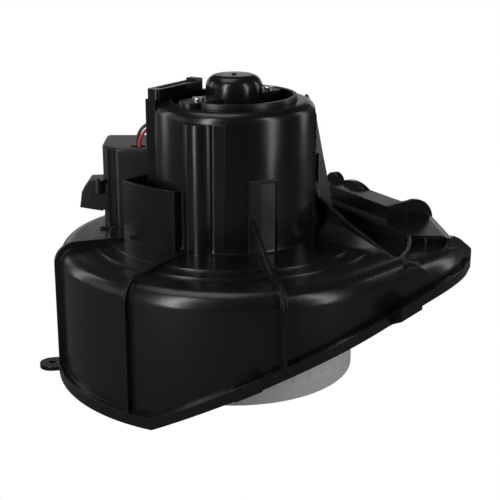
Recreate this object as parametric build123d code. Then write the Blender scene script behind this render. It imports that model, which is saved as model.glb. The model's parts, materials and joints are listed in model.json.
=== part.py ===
from build123d import *
import math
import os

# Blower motor unit of a car heater: a motor cup moulded on a scroll cover, a motor in the cup,
# a squirrel cage wheel below it and a speed regulator with its connector beside the cup.
# Millimetres, +Z up. The origin is on the motor's axis, in the plane of the wheel's inlet edge.

# Air wheel
wheel_r = 70.0
wheel_h = 62.0
ring_h = 18.0
ring_step_z = 9.0
ring_step = 0.8
ring_t = 2.0
blade_count = 41
blade_depth = 11.0
blade_t = 1.1
blade_lean = 38.0
dish_t = 2.0
dish_drop = 15.0
hub_r = 9.0
hub_h = 15.0
insert_r = 5.5

# Scroll cover
wall_t = 2.5
deck_z = 77.0
edge_r = 9.0
rib_h = 3.5
rib_t = 2.4
rim_w = 3.5
rim_h = 6.5
split_rise_x = 0.426
split_rise_y = -0.25
split_z0 = -6.2
step_1_r = 73.0
step_2_r = 83.0
step_h = 1.0
scroll_left_r = 103.0
scroll_step = 15.0
scroll_start_angle = 50.0
front_arc_r = 99.0
front_run = 57.0
upper_arc_r = 60.0
upper_lean = 5.0
ledge_arc_r = 90.0
ledge_heading = 73.0
ledge_run = 20.0
ledge_back = (118.0, 24.0)
mouth_lip = 3.0

# Motor cup
cup_r = 46.1
cup_wall = 2.5
cup_top_z = 157.0
cup_edge_r = 6.0
cup_edge_sides = 5
cup_hole_r = 36.0

# Motor
can_r = 38.5
can_t = 1.6
can_bottom_z = 84.0
can_top_z = 148.0
magnet_t = 6.5
magnet_span = 125.0
core_r = 29.6
core_h = 34.0
slot_count = 12
shaft_r = 4.0
bearing_r = 8.0
bearing_h = 9.0
commutator_r = 11.0
commutator_h = 11.0
brush_w = 8.0
brush_h = 6.0
brush_len = 11.0
brush_travel = 4.0
collar_r = 35.5
collar_t = 2.0
collar_h_cap = 9.4
collar_start = 240.0
collar_span = 222.0
cap_t = 2.6
cap_floor_z = can_top_z + cap_t
collar_top_z = cap_floor_z + collar_h_cap
dome_r = 16.0
dome_h = 20.4
dome_top_z = cap_floor_z + dome_h
dome_edge_r = 6.5
dome_sides = 6
ear_r = 27.0
ear_angle = 222.5
ear_top_z = cap_floor_z + 9.0
screw_head_r = 3.4
screw_head_h = 1.5
screw_r = 1.9

# Regulator and leads
box_x0, box_x1 = -78.0, -49.5
box_y0, box_y1 = 11.0, 50.0
box_top_z = 126.0
box_t = 2.0
box_corner_r = 13.0
lead_d = 2.0

# Clearances
fit = 0.05
seat_gap = 0.3
running_gap = 0.3
far = 500.0

parts = {}


def keep(name, shape):
    shape.label = name
    parts[name] = shape


def polar(radius, angle, z=0.0):
    a = math.radians(angle)
    return Vector(radius * math.cos(a), radius * math.sin(a), z)


def heading(start, angle, length):
    a = math.radians(angle)
    return (start[0] + length * math.cos(a), start[1] + length * math.sin(a))


def turn_centre(start, angle, radius):
    a = math.radians(angle)
    return (start[0] - radius * math.sin(a), start[1] + radius * math.cos(a))


def cylinder(radius, z0, z1, x=0.0, y=0.0):
    return Pos(x, y, z0) * Cylinder(radius, z1 - z0, align=(Align.CENTER, Align.CENTER, Align.MIN))


def tube(outer, inner, z0, z1, x=0.0, y=0.0):
    return cylinder(outer, z0, z1, x, y) - cylinder(inner, z0 - 1, z1 + 1, x, y)


def block(x0, x1, y0, y1, z0, z1):
    mid = Pos((x0 + x1) / 2, (y0 + y1) / 2, (z0 + z1) / 2)
    return mid * Box(x1 - x0, y1 - y0, z1 - z0)


def prism(points, z0, z1):
    return extrude(Pos(0, 0, z0) * make_face(Polyline(*points, close=True)), z1 - z0)


def above(height):
    """Everything above the lower edge of the cover, raised by a height."""
    flat = Pos(0, 0, height) * Box(far, far, far, align=(Align.CENTER, Align.CENTER, Align.MIN))
    tilt = Plane(origin=(0, 0, split_z0 + height), z_dir=(-split_rise_x, -split_rise_y, 1))
    return flat & (tilt * Box(2 * far, 2 * far, far, align=(Align.CENTER, Align.CENTER, Align.MIN)))


# The outline of the scroll, counter-clockwise from its tongue, as tangent arcs and runs.
left_c = (2.0, -3.0)
back_r = scroll_left_r - scroll_step
back_c = (left_c[0] - scroll_step, left_c[1])
start_r = back_r - 12.0
start_c = (back_c[0], back_c[1] + 12.0)
front_p = (left_c[0], left_c[1] - scroll_left_r)
front_c = turn_centre(front_p, 0, front_arc_r)
chord_p = (front_c[0] + front_arc_r * math.sin(math.pi / 4), front_c[1] - front_arc_r * math.cos(math.pi / 4))
tray_p = heading(chord_p, 45, front_run)
upper_c = turn_centre(tray_p, 45, upper_arc_r)
upper_p = (upper_c[0] + upper_arc_r * math.sin(math.radians(90 + upper_lean)),
           upper_c[1] - upper_arc_r * math.cos(math.radians(90 + upper_lean)))
mouth_1 = heading(upper_p, 90 + upper_lean, 56)
mouth_2 = (58.0, 106.0)
tongue_p = (start_c[0] + start_r * math.cos(math.radians(scroll_start_angle)),
            start_c[1] + start_r * math.sin(math.radians(scroll_start_angle)))
ledge_c = turn_centre(tray_p, 45, ledge_arc_r)
ledge_p = (ledge_c[0] + ledge_arc_r * math.sin(math.radians(ledge_heading)),
           ledge_c[1] - ledge_arc_r * math.cos(math.radians(ledge_heading)))
ledge_end = heading(ledge_p, ledge_heading, ledge_run)


def upper_face():
    edges = [
        CenterArc(start_c, start_r, scroll_start_angle, 90 - scroll_start_angle),
        CenterArc(back_c, back_r, 90, 90),
        CenterArc(left_c, scroll_left_r, 180, 90),
        CenterArc(front_c, front_arc_r, 270, 45),
        Line(chord_p, tray_p),
        CenterArc(upper_c, upper_arc_r, 315, 45 + upper_lean),
        Line(upper_p, mouth_1),
        Line(mouth_1, mouth_2),
        Line(mouth_2, tongue_p),
    ]
    face = make_face(Wire(edges))
    corners = [v for v in face.vertices()
               if min((Vector(*p) - Vector(v.X, v.Y)).length for p in (mouth_1, mouth_2, tongue_p)) < 0.1]
    return fillet(corners, edge_r + 3)


def ledge_face():
    edges = [
        CenterArc(ledge_c, ledge_arc_r, 315, ledge_heading - 45),
        Line(ledge_p, ledge_end),
        Line(ledge_end, ledge_back),
        Line(ledge_back, tray_p),
    ]
    return make_face(Wire(edges))


def tray_face(inset):
    """The low floor's outline, moved in along the cover's edge, and closed under the deck."""
    start = Vector(*heading(chord_p, 45, 20)) + polar(inset, 135)
    end = Vector(*ledge_end) + polar(inset * 1.4, ledge_heading + 145)
    r = ledge_arc_r - inset
    arc_0 = Vector(ledge_c[0] + r * math.sin(math.radians(45)), ledge_c[1] - r * math.cos(math.radians(45)))
    arc_1 = Vector(ledge_c[0] + r * math.sin(math.radians(ledge_heading)),
                   ledge_c[1] - r * math.cos(math.radians(ledge_heading)))
    edges = [
        Line((start.X, start.Y), (arc_0.X, arc_0.Y)),
        CenterArc(ledge_c, r, 315, ledge_heading - 45),
        Line((arc_1.X, arc_1.Y), (end.X, end.Y)),
        Line((end.X, end.Y), (ledge_back[0], ledge_back[1] - inset)),
        Line((ledge_back[0], ledge_back[1] - inset), (80, ledge_back[1] - inset)),
        Line((80, ledge_back[1] - inset), (60, -40)),
        Line((60, -40), (start.X, start.Y)),
    ]
    return make_face(Wire(edges))


def tray_solid(inset):
    """The low floor as a block whose outer edge rolls down to the rim."""
    top = tray_z - (inset and tray_t)
    body = extrude(Pos(0, 0, -1) * tray_face(inset), top + 1)
    roll = tray_roll - inset
    outer = [e for e in body.edges() if abs(e.center().Z - top) < 0.01 and e.center().X > 95
             and e.center().X - e.center().Y > 100]
    return fillet(outer, roll)


def scroll_body(grow):
    """The scroll's solid, with its wall and deck moved out by a distance."""
    face = upper_face()
    if grow:
        face = offset(face, grow)
    top = deck_z + grow
    body = extrude(Pos(0, 0, -1) * face, top + 1)
    edges = body.edges().filter_by(lambda e: abs(e.center().Z - top) < 0.01 and abs(e.bounding_box().size.Z) < 0.01)
    if grow < 0:
        return chamfer(edges, (edge_r + grow) * (2 - math.sqrt(2)))
    return fillet(edges, edge_r + grow)


# Scroll cover: sizes of the deck's features
flare_angle = -45.0
flare_w = 16.0
flare_t = 2.2
flare_h, flare_rise = 21.0, 15.8
flare_fall, flare_sag = 26.0, 4.7
flare_s = [0.0, 2.5, 6.2, 11.2, 24.0, 35.6, 49.5, 62.0]
tray_r = 101.7
tray_lip = 1.0
tray_edge_y = -3.0
tray_t = 2.5
tray_z = 72.4
tray_roll = 12.0
fall_t = 3.0
corner_r = 8.0
nib = (146.5, 20.0)
tray_back_x = 128.5
mouth_top_z = 46.0
window_d = 89.6
window_angle = 30.4
window_end = 58.0
collar_front_d = 93.0
collar_back_d = 108.2
collar_h = 9.6
collar_t0, collar_t1 = -25.0, 62.0
hood_t0, hood_t, hood_z = -60.0, 2.2, 54.0
gusset_angle = 281.0
gusset_end_angle = 283.5
web_angle = 20.0
web_t = 2.4
fin_run = 12.0
boss_angle = 244.5
boss_r = 9.0
boss_top_z = cup_top_z - cup_edge_r
pocket_h = 36.0
rail_h = 7.5
rail_w, rail_band = 8.0, 6.0
pocket_top_z = deck_z + pocket_h
pocket_t = 2.2
ear_tab_r = 7.5
ear_hole_r = 2.2
ear_tab_t = 2.5
pad_h = 2.2

# Motor's inner sizes
nose_z = can_bottom_z - 5.5
magnet_z0, magnet_z1 = can_bottom_z + 8.0, can_top_z - 14.0
damper_t = 1.6
rear_z = cap_floor_z + 2.9
cap_ear_r = 38.8
ear_half = 7.3
dome_t = 2.0
core_z0 = can_bottom_z + 11.0
winding_h = 7.0
plate_z = can_top_z - 9.0
plate_t = 1.8
brush_z = can_top_z - 4.0
brush_gap = 0.05
brush_out = 29.0
spring_r = 2.2
spring_wire = 0.6
shaft_z0, shaft_z1 = 33.0, rear_z + 11.0
clip_z = wheel_h - 10.7
blade_sweep = math.radians(9.0)

# Regulator's inner sizes
board_z = deck_z + 11.0
tab_y0, tab_y1 = 15.0, 30.0
tab_front = 3.0
tab_pin_y = 4.9
pin_pitch = 1.4
latch_x, latch_r = -80.3, 3.9
pin_x = -73.0
screw_small_r = 1.2
fin_low_z = 54.0
lead_x, lead_y, lead_z = -39.0, 17.5, 141.0
lead_run = 12.5
lead_drop = 14.0
lead_turn = 60.0
lead_end = 8.0
lead_in, lead_gap, lead_under = 1.3, 2.4, 1.8
low = deck_z - wall_t
plateau_z = deck_z + 2 * step_h


def flare_height(s):
    """Height of the flare's top edge, at a distance from the cup's wall."""
    if s < flare_s[3]:
        t = max(s, 0.0) / flare_s[3]
        return deck_z + flare_h + flare_rise * (1 - t) ** 2.4
    t = (s - flare_s[3]) / (flare_s[-1] - flare_s[3])
    return deck_z + flare_h - flare_fall * t + flare_sag * t * t


def flare_wall():
    """The upright wall behind the flare, cut along the flare's top edge."""
    plane = Plane(origin=(cup_r, 0, 0), x_dir=polar(1, flare_angle), z_dir=polar(1, flare_angle - 90))
    top = [(s, flare_height(s)) for s in flare_s]
    end = top[-1]
    edges = [
        Spline(*top),
        Line(end, (end[0] + 12, end[1])),
        Line((end[0] + 12, end[1]), (end[0] + 12, low)),
        Line((end[0] + 12, low), (-8, low)),
        Line((-8, low), (-8, top[0][1])),
        Line((-8, top[0][1]), top[0]),
    ]
    flip = 1 if plane.y_dir.Z > 0 else -1
    if flip < 0:
        plane = Plane(origin=(cup_r, 0, 0), x_dir=polar(1, flare_angle), z_dir=polar(1, flare_angle + 90))
    wall = extrude(plane * make_face(Wire(edges)), flip * flare_t)
    return wall


def flare_ramp():
    """The concave skirt between the flare's top edge and the deck."""
    sections = []
    for s in [-9.0, -4.0] + flare_s:
        h = flare_height(s)
        at = Plane(origin=Vector(cup_r, 0, 0) + polar(s, flare_angle), x_dir=polar(1, flare_angle - 90),
                   z_dir=polar(1, flare_angle + 180))
        toe = deck_z - 1.0
        chord = Vector(flare_w, toe - h)
        normal = Vector(-chord.Y, chord.X).normalized()
        steep = math.atan2(flare_w, h - toe)
        sag = min(0.17 * (h - toe), 0.46 * chord.length * math.tan(steep / 2)) * (1 if normal.Y < 0 else -1)
        mid = Vector(0, h) + chord * 0.5 + normal * sag
        edges = [Line((0, low), (0, h)), ThreePointArc((0, h), mid, (flare_w, toe)),
                 Line((flare_w, toe), (flare_w, low)), Line((flare_w, low), (0, low))]
        sections.append(at * make_face(Wire(edges)))
    return loft(sections, ruled=True)


def window_region(z0, z1):
    """The opening in the deck between the flare, the tray's arc and the outlet."""
    n = polar(1, window_angle)
    t = polar(1, window_angle + 90)
    a = n * window_d + t * far
    b = n * window_d - t * far
    behind = prism([(cup_r, 0), (cup_r + 90, -90), (cup_r + 90, 130), (-80, 130), (-80, cup_r + 80)], z0, z1)
    near = prism([a, b, b - n * far, a - n * far], z0, z1)
    sector = prism([(0, 0), polar(far, -70), polar(far, -10), polar(far, window_end)], z0, z1)
    ring = cylinder(tray_r - tray_lip, z0, z1) - cylinder(cup_r - 0.5, z0 - 1, z1 + 1)
    return ring & behind & near & sector


def tray_region(z0, z1):
    """The low part of the deck, outside the arc and in front of the outlet."""
    line = cup_r
    wedge = prism([(line, 0), (line + far, -far), (2 * far, -far), (2 * far, nib[1] + 1), nib,
                   (tray_back_x, tray_edge_y - 1), (line, tray_edge_y + 1)], z0, z1)
    return wedge - cylinder(tray_r + tray_lip, z0 - 1, z1 + 1)


def tray_back_wall():
    """The wall behind the tray, whose top falls from the deck to the rim."""
    start = Vector(tray_back_x, tray_edge_y - 1)
    run = Vector(*nib) - start
    side = Vector(run.Y, -run.X).normalized()
    plane = Plane(origin=start, x_dir=run.normalized(), z_dir=side)
    drop = [(-6, deck_z), (0.0, deck_z), (8.0, 73.4), (19.0, 66.7), (run.length, 59.5)]
    up = 1 if plane.y_dir.Z > 0 else -1
    outline = [(x, up * z) for x, z in drop] + [(run.length, up * 40.0), (-6, up * 40.0)]
    return extrude(plane * make_face(Polyline(*outline, close=True)), -wall_t)


def along(centre, angle, x, y, z0, z1):
    """A block centred on a point, with its length turned to an angle."""
    return Pos(centre[0], centre[1], 0) * Rot(0, 0, angle) * block(-x / 2, x / 2, -y / 2, y / 2, z0, z1)


def rim_boss(centre, angle, length, depth, height):
    """A fastening boss on the rim, which follows the rim's lower edge."""
    body = along(centre, angle, length, depth, -1, deck_z + 60)
    return body & (above(0) - above(height))


def cup_profile():
    """Half section of the motor cup and the stepped rings at its foot."""
    inner = cup_r - cup_wall
    top = cup_top_z
    centre = (cup_r - cup_edge_r, top - cup_edge_r)
    turns = [heading(centre, 90 * k / cup_edge_sides, cup_edge_r) for k in range(cup_edge_sides + 1)]
    points = [(inner, low), (step_2_r, low), (step_2_r, deck_z + step_h), (step_1_r, deck_z + step_h),
              (step_1_r, plateau_z), (cup_r + 2.6, plateau_z), (cup_r + 1.0, plateau_z + 0.9),
              (cup_r + 0.5, plateau_z + 3)]
    points += turns
    points += [(cup_hole_r, top), (cup_hole_r, top - cup_wall), (inner - 1.5, top - cup_wall),
               (inner, top - cup_wall - 3)]
    return Plane.XZ * make_face(Polyline(*points, close=True))


def pocket():
    """The open pocket between the cup and the rib on its left."""
    a, b, c, d = (-46.0, 9.0), (-63.5, -11.5), (-33.0, -40.0), (-27.5, -35.5)
    mid = ((b[0] + c[0]) / 2 - 1.6, (b[1] + c[1]) / 2 - 1.8)
    def shape(grow):
        edges = [Line((0, 0), a), Line(a, b), ThreePointArc(b, mid, c), Line(c, d), Line(d, (0, 0))]
        face = make_face(Wire(edges))
        return offset(face, grow, kind=Kind.INTERSECTION) if grow else face
    outer = extrude(Pos(0, 0, low) * shape(0), pocket_top_z - low)
    inner = extrude(Pos(0, 0, plateau_z) * shape(-pocket_t), pocket_top_z)
    return (outer - inner) - cylinder(cup_r - 0.5, 0, far)


def top_rail():
    """The plate left of the cup, and the channel along its top with a raised end."""
    p0, p1 = Vector(-45.5, -12.4), Vector(-23.0, 21.0)
    run = p1 - p0
    angle = math.degrees(math.atan2(run.Y, run.X))
    mid = (p0 + p1) * 0.5
    z1 = cup_top_z + rail_h
    z0 = z1 - rail_band
    rail = along((mid.X, mid.Y), angle, run.length, rail_w, z0, z1)
    ends = rail.edges().filter_by(Axis.Z).sort_by(lambda e: e.center().Y)
    rail = fillet(ends[:2], 2.2)
    rail -= along((mid.X, mid.Y), angle, run.length - 12, 4.2, z1 - 4.0, z1 + 1)
    wall = along((mid.X, mid.Y), angle, run.length, rail_w - 3, cup_top_z - cup_edge_r - 1, z0 + 0.5)
    hook = along((p1.X, p1.Y), angle, 5.0, rail_w, cup_top_z - cup_edge_r, z1 + 1.2)
    hook = fillet(hook.edges().filter_by(GeomType.LINE).group_by(Axis.Z)[-1].sort_by(Axis.Y)[0], 1.0)
    plate = along((p0.X - 0.2, p0.Y + 0.4), angle + 90, 6.5, 3.0, pocket_top_z - 1, z0 + 0.5)
    return rail + (wall & cylinder(cup_r, 0, far)) + hook + plate


def outlet_collar():
    """The raised band on the deck in front of the outlet mouth, with its humps."""
    n = polar(1, window_angle)
    t = polar(1, window_angle + 90)
    def at(d, s):
        p = n * d + t * s
        return (p.X, p.Y)
    lower = Pos(0, 0, low) * make_face(Polyline(
        at(collar_front_d, collar_t0), at(collar_back_d, collar_t0), at(collar_back_d, collar_t1),
        at(collar_front_d, collar_t1), close=True))
    band = extrude(lower, deck_z + collar_h - low)
    humps = []
    for s, half, rise in ((26.8, 14.0, 3.2), (48.0, 7.5, 4.6)):
        r = (half ** 2 + rise ** 2) / (2 * rise)
        hump = Plane(origin=n * (collar_back_d - 4) + t * s + Vector(0, 0, deck_z + collar_h + rise - r),
                     z_dir=n) * Cylinder(r, 4, align=(Align.CENTER, Align.CENTER, Align.MIN))
        humps.append(hump & block(-200, 200, -200, 200, deck_z + 2, 200))
    fin_0, fin_1 = Vector(*at(collar_front_d, collar_t0 + 1)), Vector(124.0, 46.0)
    run = fin_1 - fin_0
    length = run.length
    top = deck_z + collar_h
    edges = [Line((0, low), (0, top)), Line((0, top), (length * 0.5, top + 0.6)),
             ThreePointArc((length * 0.5, top + 0.6), (length * 0.82, top - 1.6), (length, low + 1)),
             Line((length, low + 1), (length, low)), Line((length, low), (0, low))]
    fin_plane = Plane(origin=fin_0, x_dir=run.normalized(), z_dir=Vector(run.Y, -run.X).normalized())
    fin = extrude(fin_plane * make_face(Wire(edges)), -mouth_lip)
    return band + humps + fin


def duct_hood():
    """The wall that hangs from the deck in front of the outlet."""
    n = polar(1, window_angle)
    t = polar(1, window_angle + 90)
    front = collar_front_d + 0.6
    corners = [n * front + t * hood_t0, n * (front + hood_t) + t * hood_t0, n * (front + hood_t) + t * 90,
               n * front + t * 90]
    return prism([(v.X, v.Y) for v in corners], hood_z, deck_z - 1)


def side_web():
    """The slotted web on the right of the cup."""
    plane = Plane(origin=(0, 0, 0), x_dir=polar(1, web_angle), z_dir=polar(1, web_angle - 90))
    top = cup_top_z
    outline = Polyline((cup_r - 5, low), (cup_r - 5, top), (cup_r - 1.5, top), (cup_r + 0.9, top - 5),
                       (cup_r + 3.5, top - 11.2), (cup_r + 8.2, top - 33.5), (cup_r + 12.7, top - 53.3),
                       (cup_r + 19, low), close=True)
    web = extrude(plane * make_face(outline), web_t)
    slot = Rot(0, 0, web_angle) * block(cup_r + 2.2, cup_r + 5.6, -6, -0.8, top - 53, top - 35)
    return web - slot


def left_ear(centre, angle):
    """A rim tab with a screw hole, as its outer shape and the hole to cut."""
    tab = cylinder(ear_tab_r, 0.8, 0.8 + ear_tab_t, *centre)
    neck = Pos(centre[0], centre[1], 0) * Rot(0, 0, angle) * block(-14, 0, -ear_tab_r, ear_tab_r, 0.8, 0.8 + ear_tab_t)
    return tab + neck, cylinder(ear_hole_r, -1, 8, *centre)


ears = [((-107.5, -16.0), 189.0), ((-57.0, 83.5), 120.0)]


def make_cover():
    outer = scroll_body(0)
    cavity = scroll_body(-wall_t)
    raised = scroll_body(rib_h)
    full = upper_face() + ledge_face()
    ledge_room = prism([(100, -60), (200, -60), (200, 40), (120, 40)], -2, tray_z)
    ledge_wide = extrude(Pos(0, 0, -1) * offset(ledge_face(), rim_w), deck_z)
    low_inner = extrude(Pos(0, 0, -1) * offset(full, -wall_t), deck_z + 60)
    tray = tray_region(-2, deck_z + 40)
    upper = outer - tray

    # Deck, wall, ribs and rim
    ribs = []
    for angle, start in ((195.0, step_1_r - 8), (238.0, cup_r + 6), (gusset_end_angle, step_2_r - 1)):
        ribs.append(raised & (Rot(0, 0, angle) * block(start, 160, -rib_t / 2, rib_t / 2, 0, deck_z + rib_h)))
    flange = (raised + ledge_wide) - above(rim_h)
    cover = (upper + ribs) + flange
    cover += [rim_boss((93.0, -64.5), 45, 18.5, 7, 7.6), rim_boss((7.0, -110.0), 3, 14, 6, 7.6)]
    cover += tray_solid(0)

    # Walls that step from the deck down to the tray, and the wall that falls to the rim beside it
    step_0 = tray_z - tray_t
    corner = Vector(*chord_p) + polar(36.1, 45)
    steps = tube(tray_r + tray_lip, tray_r - tray_lip, step_0, deck_z) & prism(
        [(cup_r - flare_t, 0), (cup_r + 120, -120 - flare_t), (200, -120), (200, tray_edge_y + 3),
         (cup_r, tray_edge_y + 3)], 0, deck_z)
    steps += block(tray_r - 2, tray_back_x + 1, tray_edge_y, tray_edge_y + wall_t, step_0, deck_z)
    steps += Pos(cup_r, 0, 0) * Rot(0, 0, flare_angle) * block(60, 71, -flare_t, 0, step_0, deck_z)
    inside = Pos(corner.X, corner.Y, 0) * Rot(0, 0, 45)
    rounding = inside * (block(-1, corner_r, -0.5, corner_r + fall_t, step_0, deck_z)
                         - cylinder(corner_r, 0, far, corner_r, corner_r + fall_t))
    fall_plane = Plane(origin=corner, x_dir=polar(1, 45), z_dir=polar(1, -45))
    fall = Polyline((-8, 40), (-8, deck_z), (0, deck_z - 1), (5, 74), (10, 70.4), (15.7, 66.7), (20, 61.5), (23, 57.1),
                    (23, 40), close=True)
    fall_wall = extrude(fall_plane * make_face(fall), -fall_t)
    cover += tray_back_wall() & extrude(Pos(0, 0, 0) * offset(full, rim_w), deck_z + 1)

    # Hollow: the scroll under the deck and the low space under the tray
    cover -= cavity - tray
    cover -= tray_solid(wall_t) & (tray + ledge_room)
    cover += [steps & outer, rounding & outer, fall_wall & outer]

    # Motor cup, flare, web, pocket, rail and outlet band
    cover += revolve(cup_profile())
    boss_at = polar(cup_r - 3.5, boss_angle)
    boss = cylinder(boss_r, low, boss_top_z, boss_at.X, boss_at.Y)
    strip = Rot(0, 0, 262) * block(cup_r - 2, cup_r + 1.0, -4.6, 1.6, low, boss_top_z)
    pad = Rot(0, 0, 291) * block(cup_r - 2, cup_r + 1.6, -8.6, 7, low, 121)
    pad -= Rot(0, 0, 293.5) * block(cup_r + 0.6, cup_r + 4, -4.6, 4.6, low, 119)
    cover += [boss, strip, pad]
    foot = polar(step_2_r, gusset_end_angle)
    head = polar(cup_r - 1, gusset_angle)
    run = foot - head
    gusset = Plane(origin=head, x_dir=run.normalized(), z_dir=Vector(run.Y, -run.X).normalized())
    up = 1 if gusset.y_dir.Z > 0 else -1
    slope = [(0, low), (0, 101), (1.5, 101), (run.length, deck_z + rib_h), (run.length, low)]
    cover += extrude(gusset * make_face(Polyline(*[(x, up * z) for x, z in slope], close=True)), rib_t / 2, both=True)
    fin = Polyline((cup_r - 9, low), (cup_r, low), (cup_r, cup_top_z - 7.5), (cup_r - 1, cup_top_z - 4),
                   (cup_r - 3.5, cup_top_z - 1.2), (cup_r - 7, cup_top_z), (cup_r - 9, cup_top_z), close=True)
    cover += extrude(Plane.XZ * make_face(fin), fin_run)
    cover += [flare_wall(), flare_ramp(), pocket(), top_rail()]
    cover += outlet_collar() & extrude(Pos(0, 0, low - 1) * upper_face(), 60)
    cover += duct_hood() & scroll_body(-wall_t / 2)
    box_pad = prism([(box_x0 - 1.5, box_y0 - 1.5), (box_x1 + 1, box_y0 - 1.5), (box_x1 + 1, box_y1 + 1.5),
                     (box_x0 - 1.5, box_y1 + 1.5)], low, deck_z + pad_h)
    cover += box_pad

    # Openings: the motor's bore, the deck window, the outlet mouth and the regulator's window
    cover -= cylinder(cup_r - cup_wall, low - 5, cup_top_z - cup_wall - 3)
    cover -= cylinder(cup_hole_r, cup_top_z - 12, cup_top_z + 1)
    cover -= window_region(low - 2, deck_z + 60)
    cover += side_web() - cylinder(cup_r - cup_wall, 0, far)
    cover -= mouth_cut()
    cover -= block(*sink_window, low - 2, deck_z + 10)
    cover -= lead_cut()
    for centre, angle in ears:
        tab, hole = left_ear(centre, angle)
        cover += tab - low_inner
        cover -= hole
    cover -= block(-far, far, -far, far, -far, 0)
    cover -= Plane(origin=(0, 0, split_z0), z_dir=(-split_rise_x, -split_rise_y, 1)) * Box(
        2 * far, 2 * far, far, align=(Align.CENTER, Align.CENTER, Align.MAX))
    return cover


sink_window = (-76.0, -52.5, 14.0, 47.0)
grommet_angle = 159.2
grommet_z = 140.1
grommet_w = 7.0
grommet_h = 6.4


def mouth_cut():
    """The outlet, cut through the scroll's end wall."""
    a, b = Vector(*mouth_1), Vector(*mouth_2)
    m = (b - a).normalized()
    n = Vector(m.Y, -m.X)
    if n.Y < 0:
        n = n * -1
    p = [a + m * 6 - n * 5, b - m * 9 - n * 5, b - m * 9 + n * 10, a + m * 6 + n * 10]
    return prism(p, -2, mouth_top_z)


def lead_cut():
    """The opening in the cup's wall for the grommet."""
    slot = Rot(0, 0, grommet_angle) * block(cup_r - 6, cup_r + 4, -grommet_w / 2, grommet_w / 2,
                                            grommet_z - grommet_h / 2, grommet_z + grommet_h / 2)
    return slot



def make_motor():
    """Can with its magnets, clips, damper and bearings."""
    bore = can_r - can_t
    can = cylinder(can_r, can_bottom_z, can_top_z) - cylinder(bore, can_bottom_z + can_t, can_top_z + 1)
    can += cylinder(bearing_r + can_t, nose_z, can_bottom_z + 1)
    can -= cylinder(bearing_r, nose_z + 1.5, can_top_z)
    can -= cylinder(shaft_r + 1, nose_z - 1, can_top_z)
    for k in range(6):
        can -= Rot(0, 0, 30 + 60 * k) * block(15, 27, -3, 3, can_bottom_z - 1, can_bottom_z + can_t + 1)
    keep("motor_can", can)

    ring = tube(bore, bore - magnet_t, magnet_z0, magnet_z1)
    gap = (180 - magnet_span) / 2
    wedge = prism([(0, 0), polar(90, gap), polar(120, 90), polar(90, 180 - gap)], magnet_z0, magnet_z1)
    magnet = ring & wedge
    keep("magnets", Compound(children=[magnet, Rot(0, 0, 180) * magnet]))
    between = prism([(0, 0), polar(90, -gap), polar(90, gap)], magnet_z0 + 4, magnet_z1 - 4)
    clip = tube(bore - 0.1, bore - 0.9, magnet_z0 + 4, magnet_z1 - 4) & between
    for side in (-1, 1):
        tab = Rot(0, 0, side * (gap - 0.9)) * block(bore - 4.5, bore - 0.4, -0.4, 0.4, magnet_z0 + 10, magnet_z1 - 10)
        clip += tab
    keep("magnet_clips", Compound(children=[clip, Rot(0, 0, 180) * clip]))

    cup_bore = cup_r - cup_wall
    sleeve = tube(can_r + damper_t, can_r, can_bottom_z + 4, can_top_z - 14)
    for k in range(10):
        rib = Rot(0, 0, 36 * k) * block(can_r + 0.5, cup_bore + 1, -2.5, 2.5, can_bottom_z + 6, can_top_z - 16)
        sleeve += rib & tube(cup_bore, can_r + 0.5, can_bottom_z, can_top_z)
    keep("damper_sleeve", sleeve)

    front = tube(bearing_r, shaft_r + fit, nose_z + 1.5, nose_z + 1.5 + bearing_h)
    rear = tube(bearing_r, shaft_r + fit, rear_z, rear_z + bearing_h)
    keep("front_bearing", chamfer(front.edges().filter_by(GeomType.CIRCLE).sort_by(SortBy.RADIUS)[-2:], 0.6))
    keep("rear_bearing", chamfer(rear.edges().filter_by(GeomType.CIRCLE).sort_by(SortBy.RADIUS)[-2:], 0.6))
    star = tube(bearing_r, shaft_r + 1.5, 0, 0.7)
    for k in range(8):
        star -= Rot(0, 0, 45 * k) * block(shaft_r, shaft_r + 2.6, -0.5, 0.5, -1, 2)
    keep("bearing_retainers", Compound(children=[
        Pos(0, 0, nose_z + 1.5 + bearing_h) * star, Pos(0, 0, rear_z - 0.7) * star]))


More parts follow.
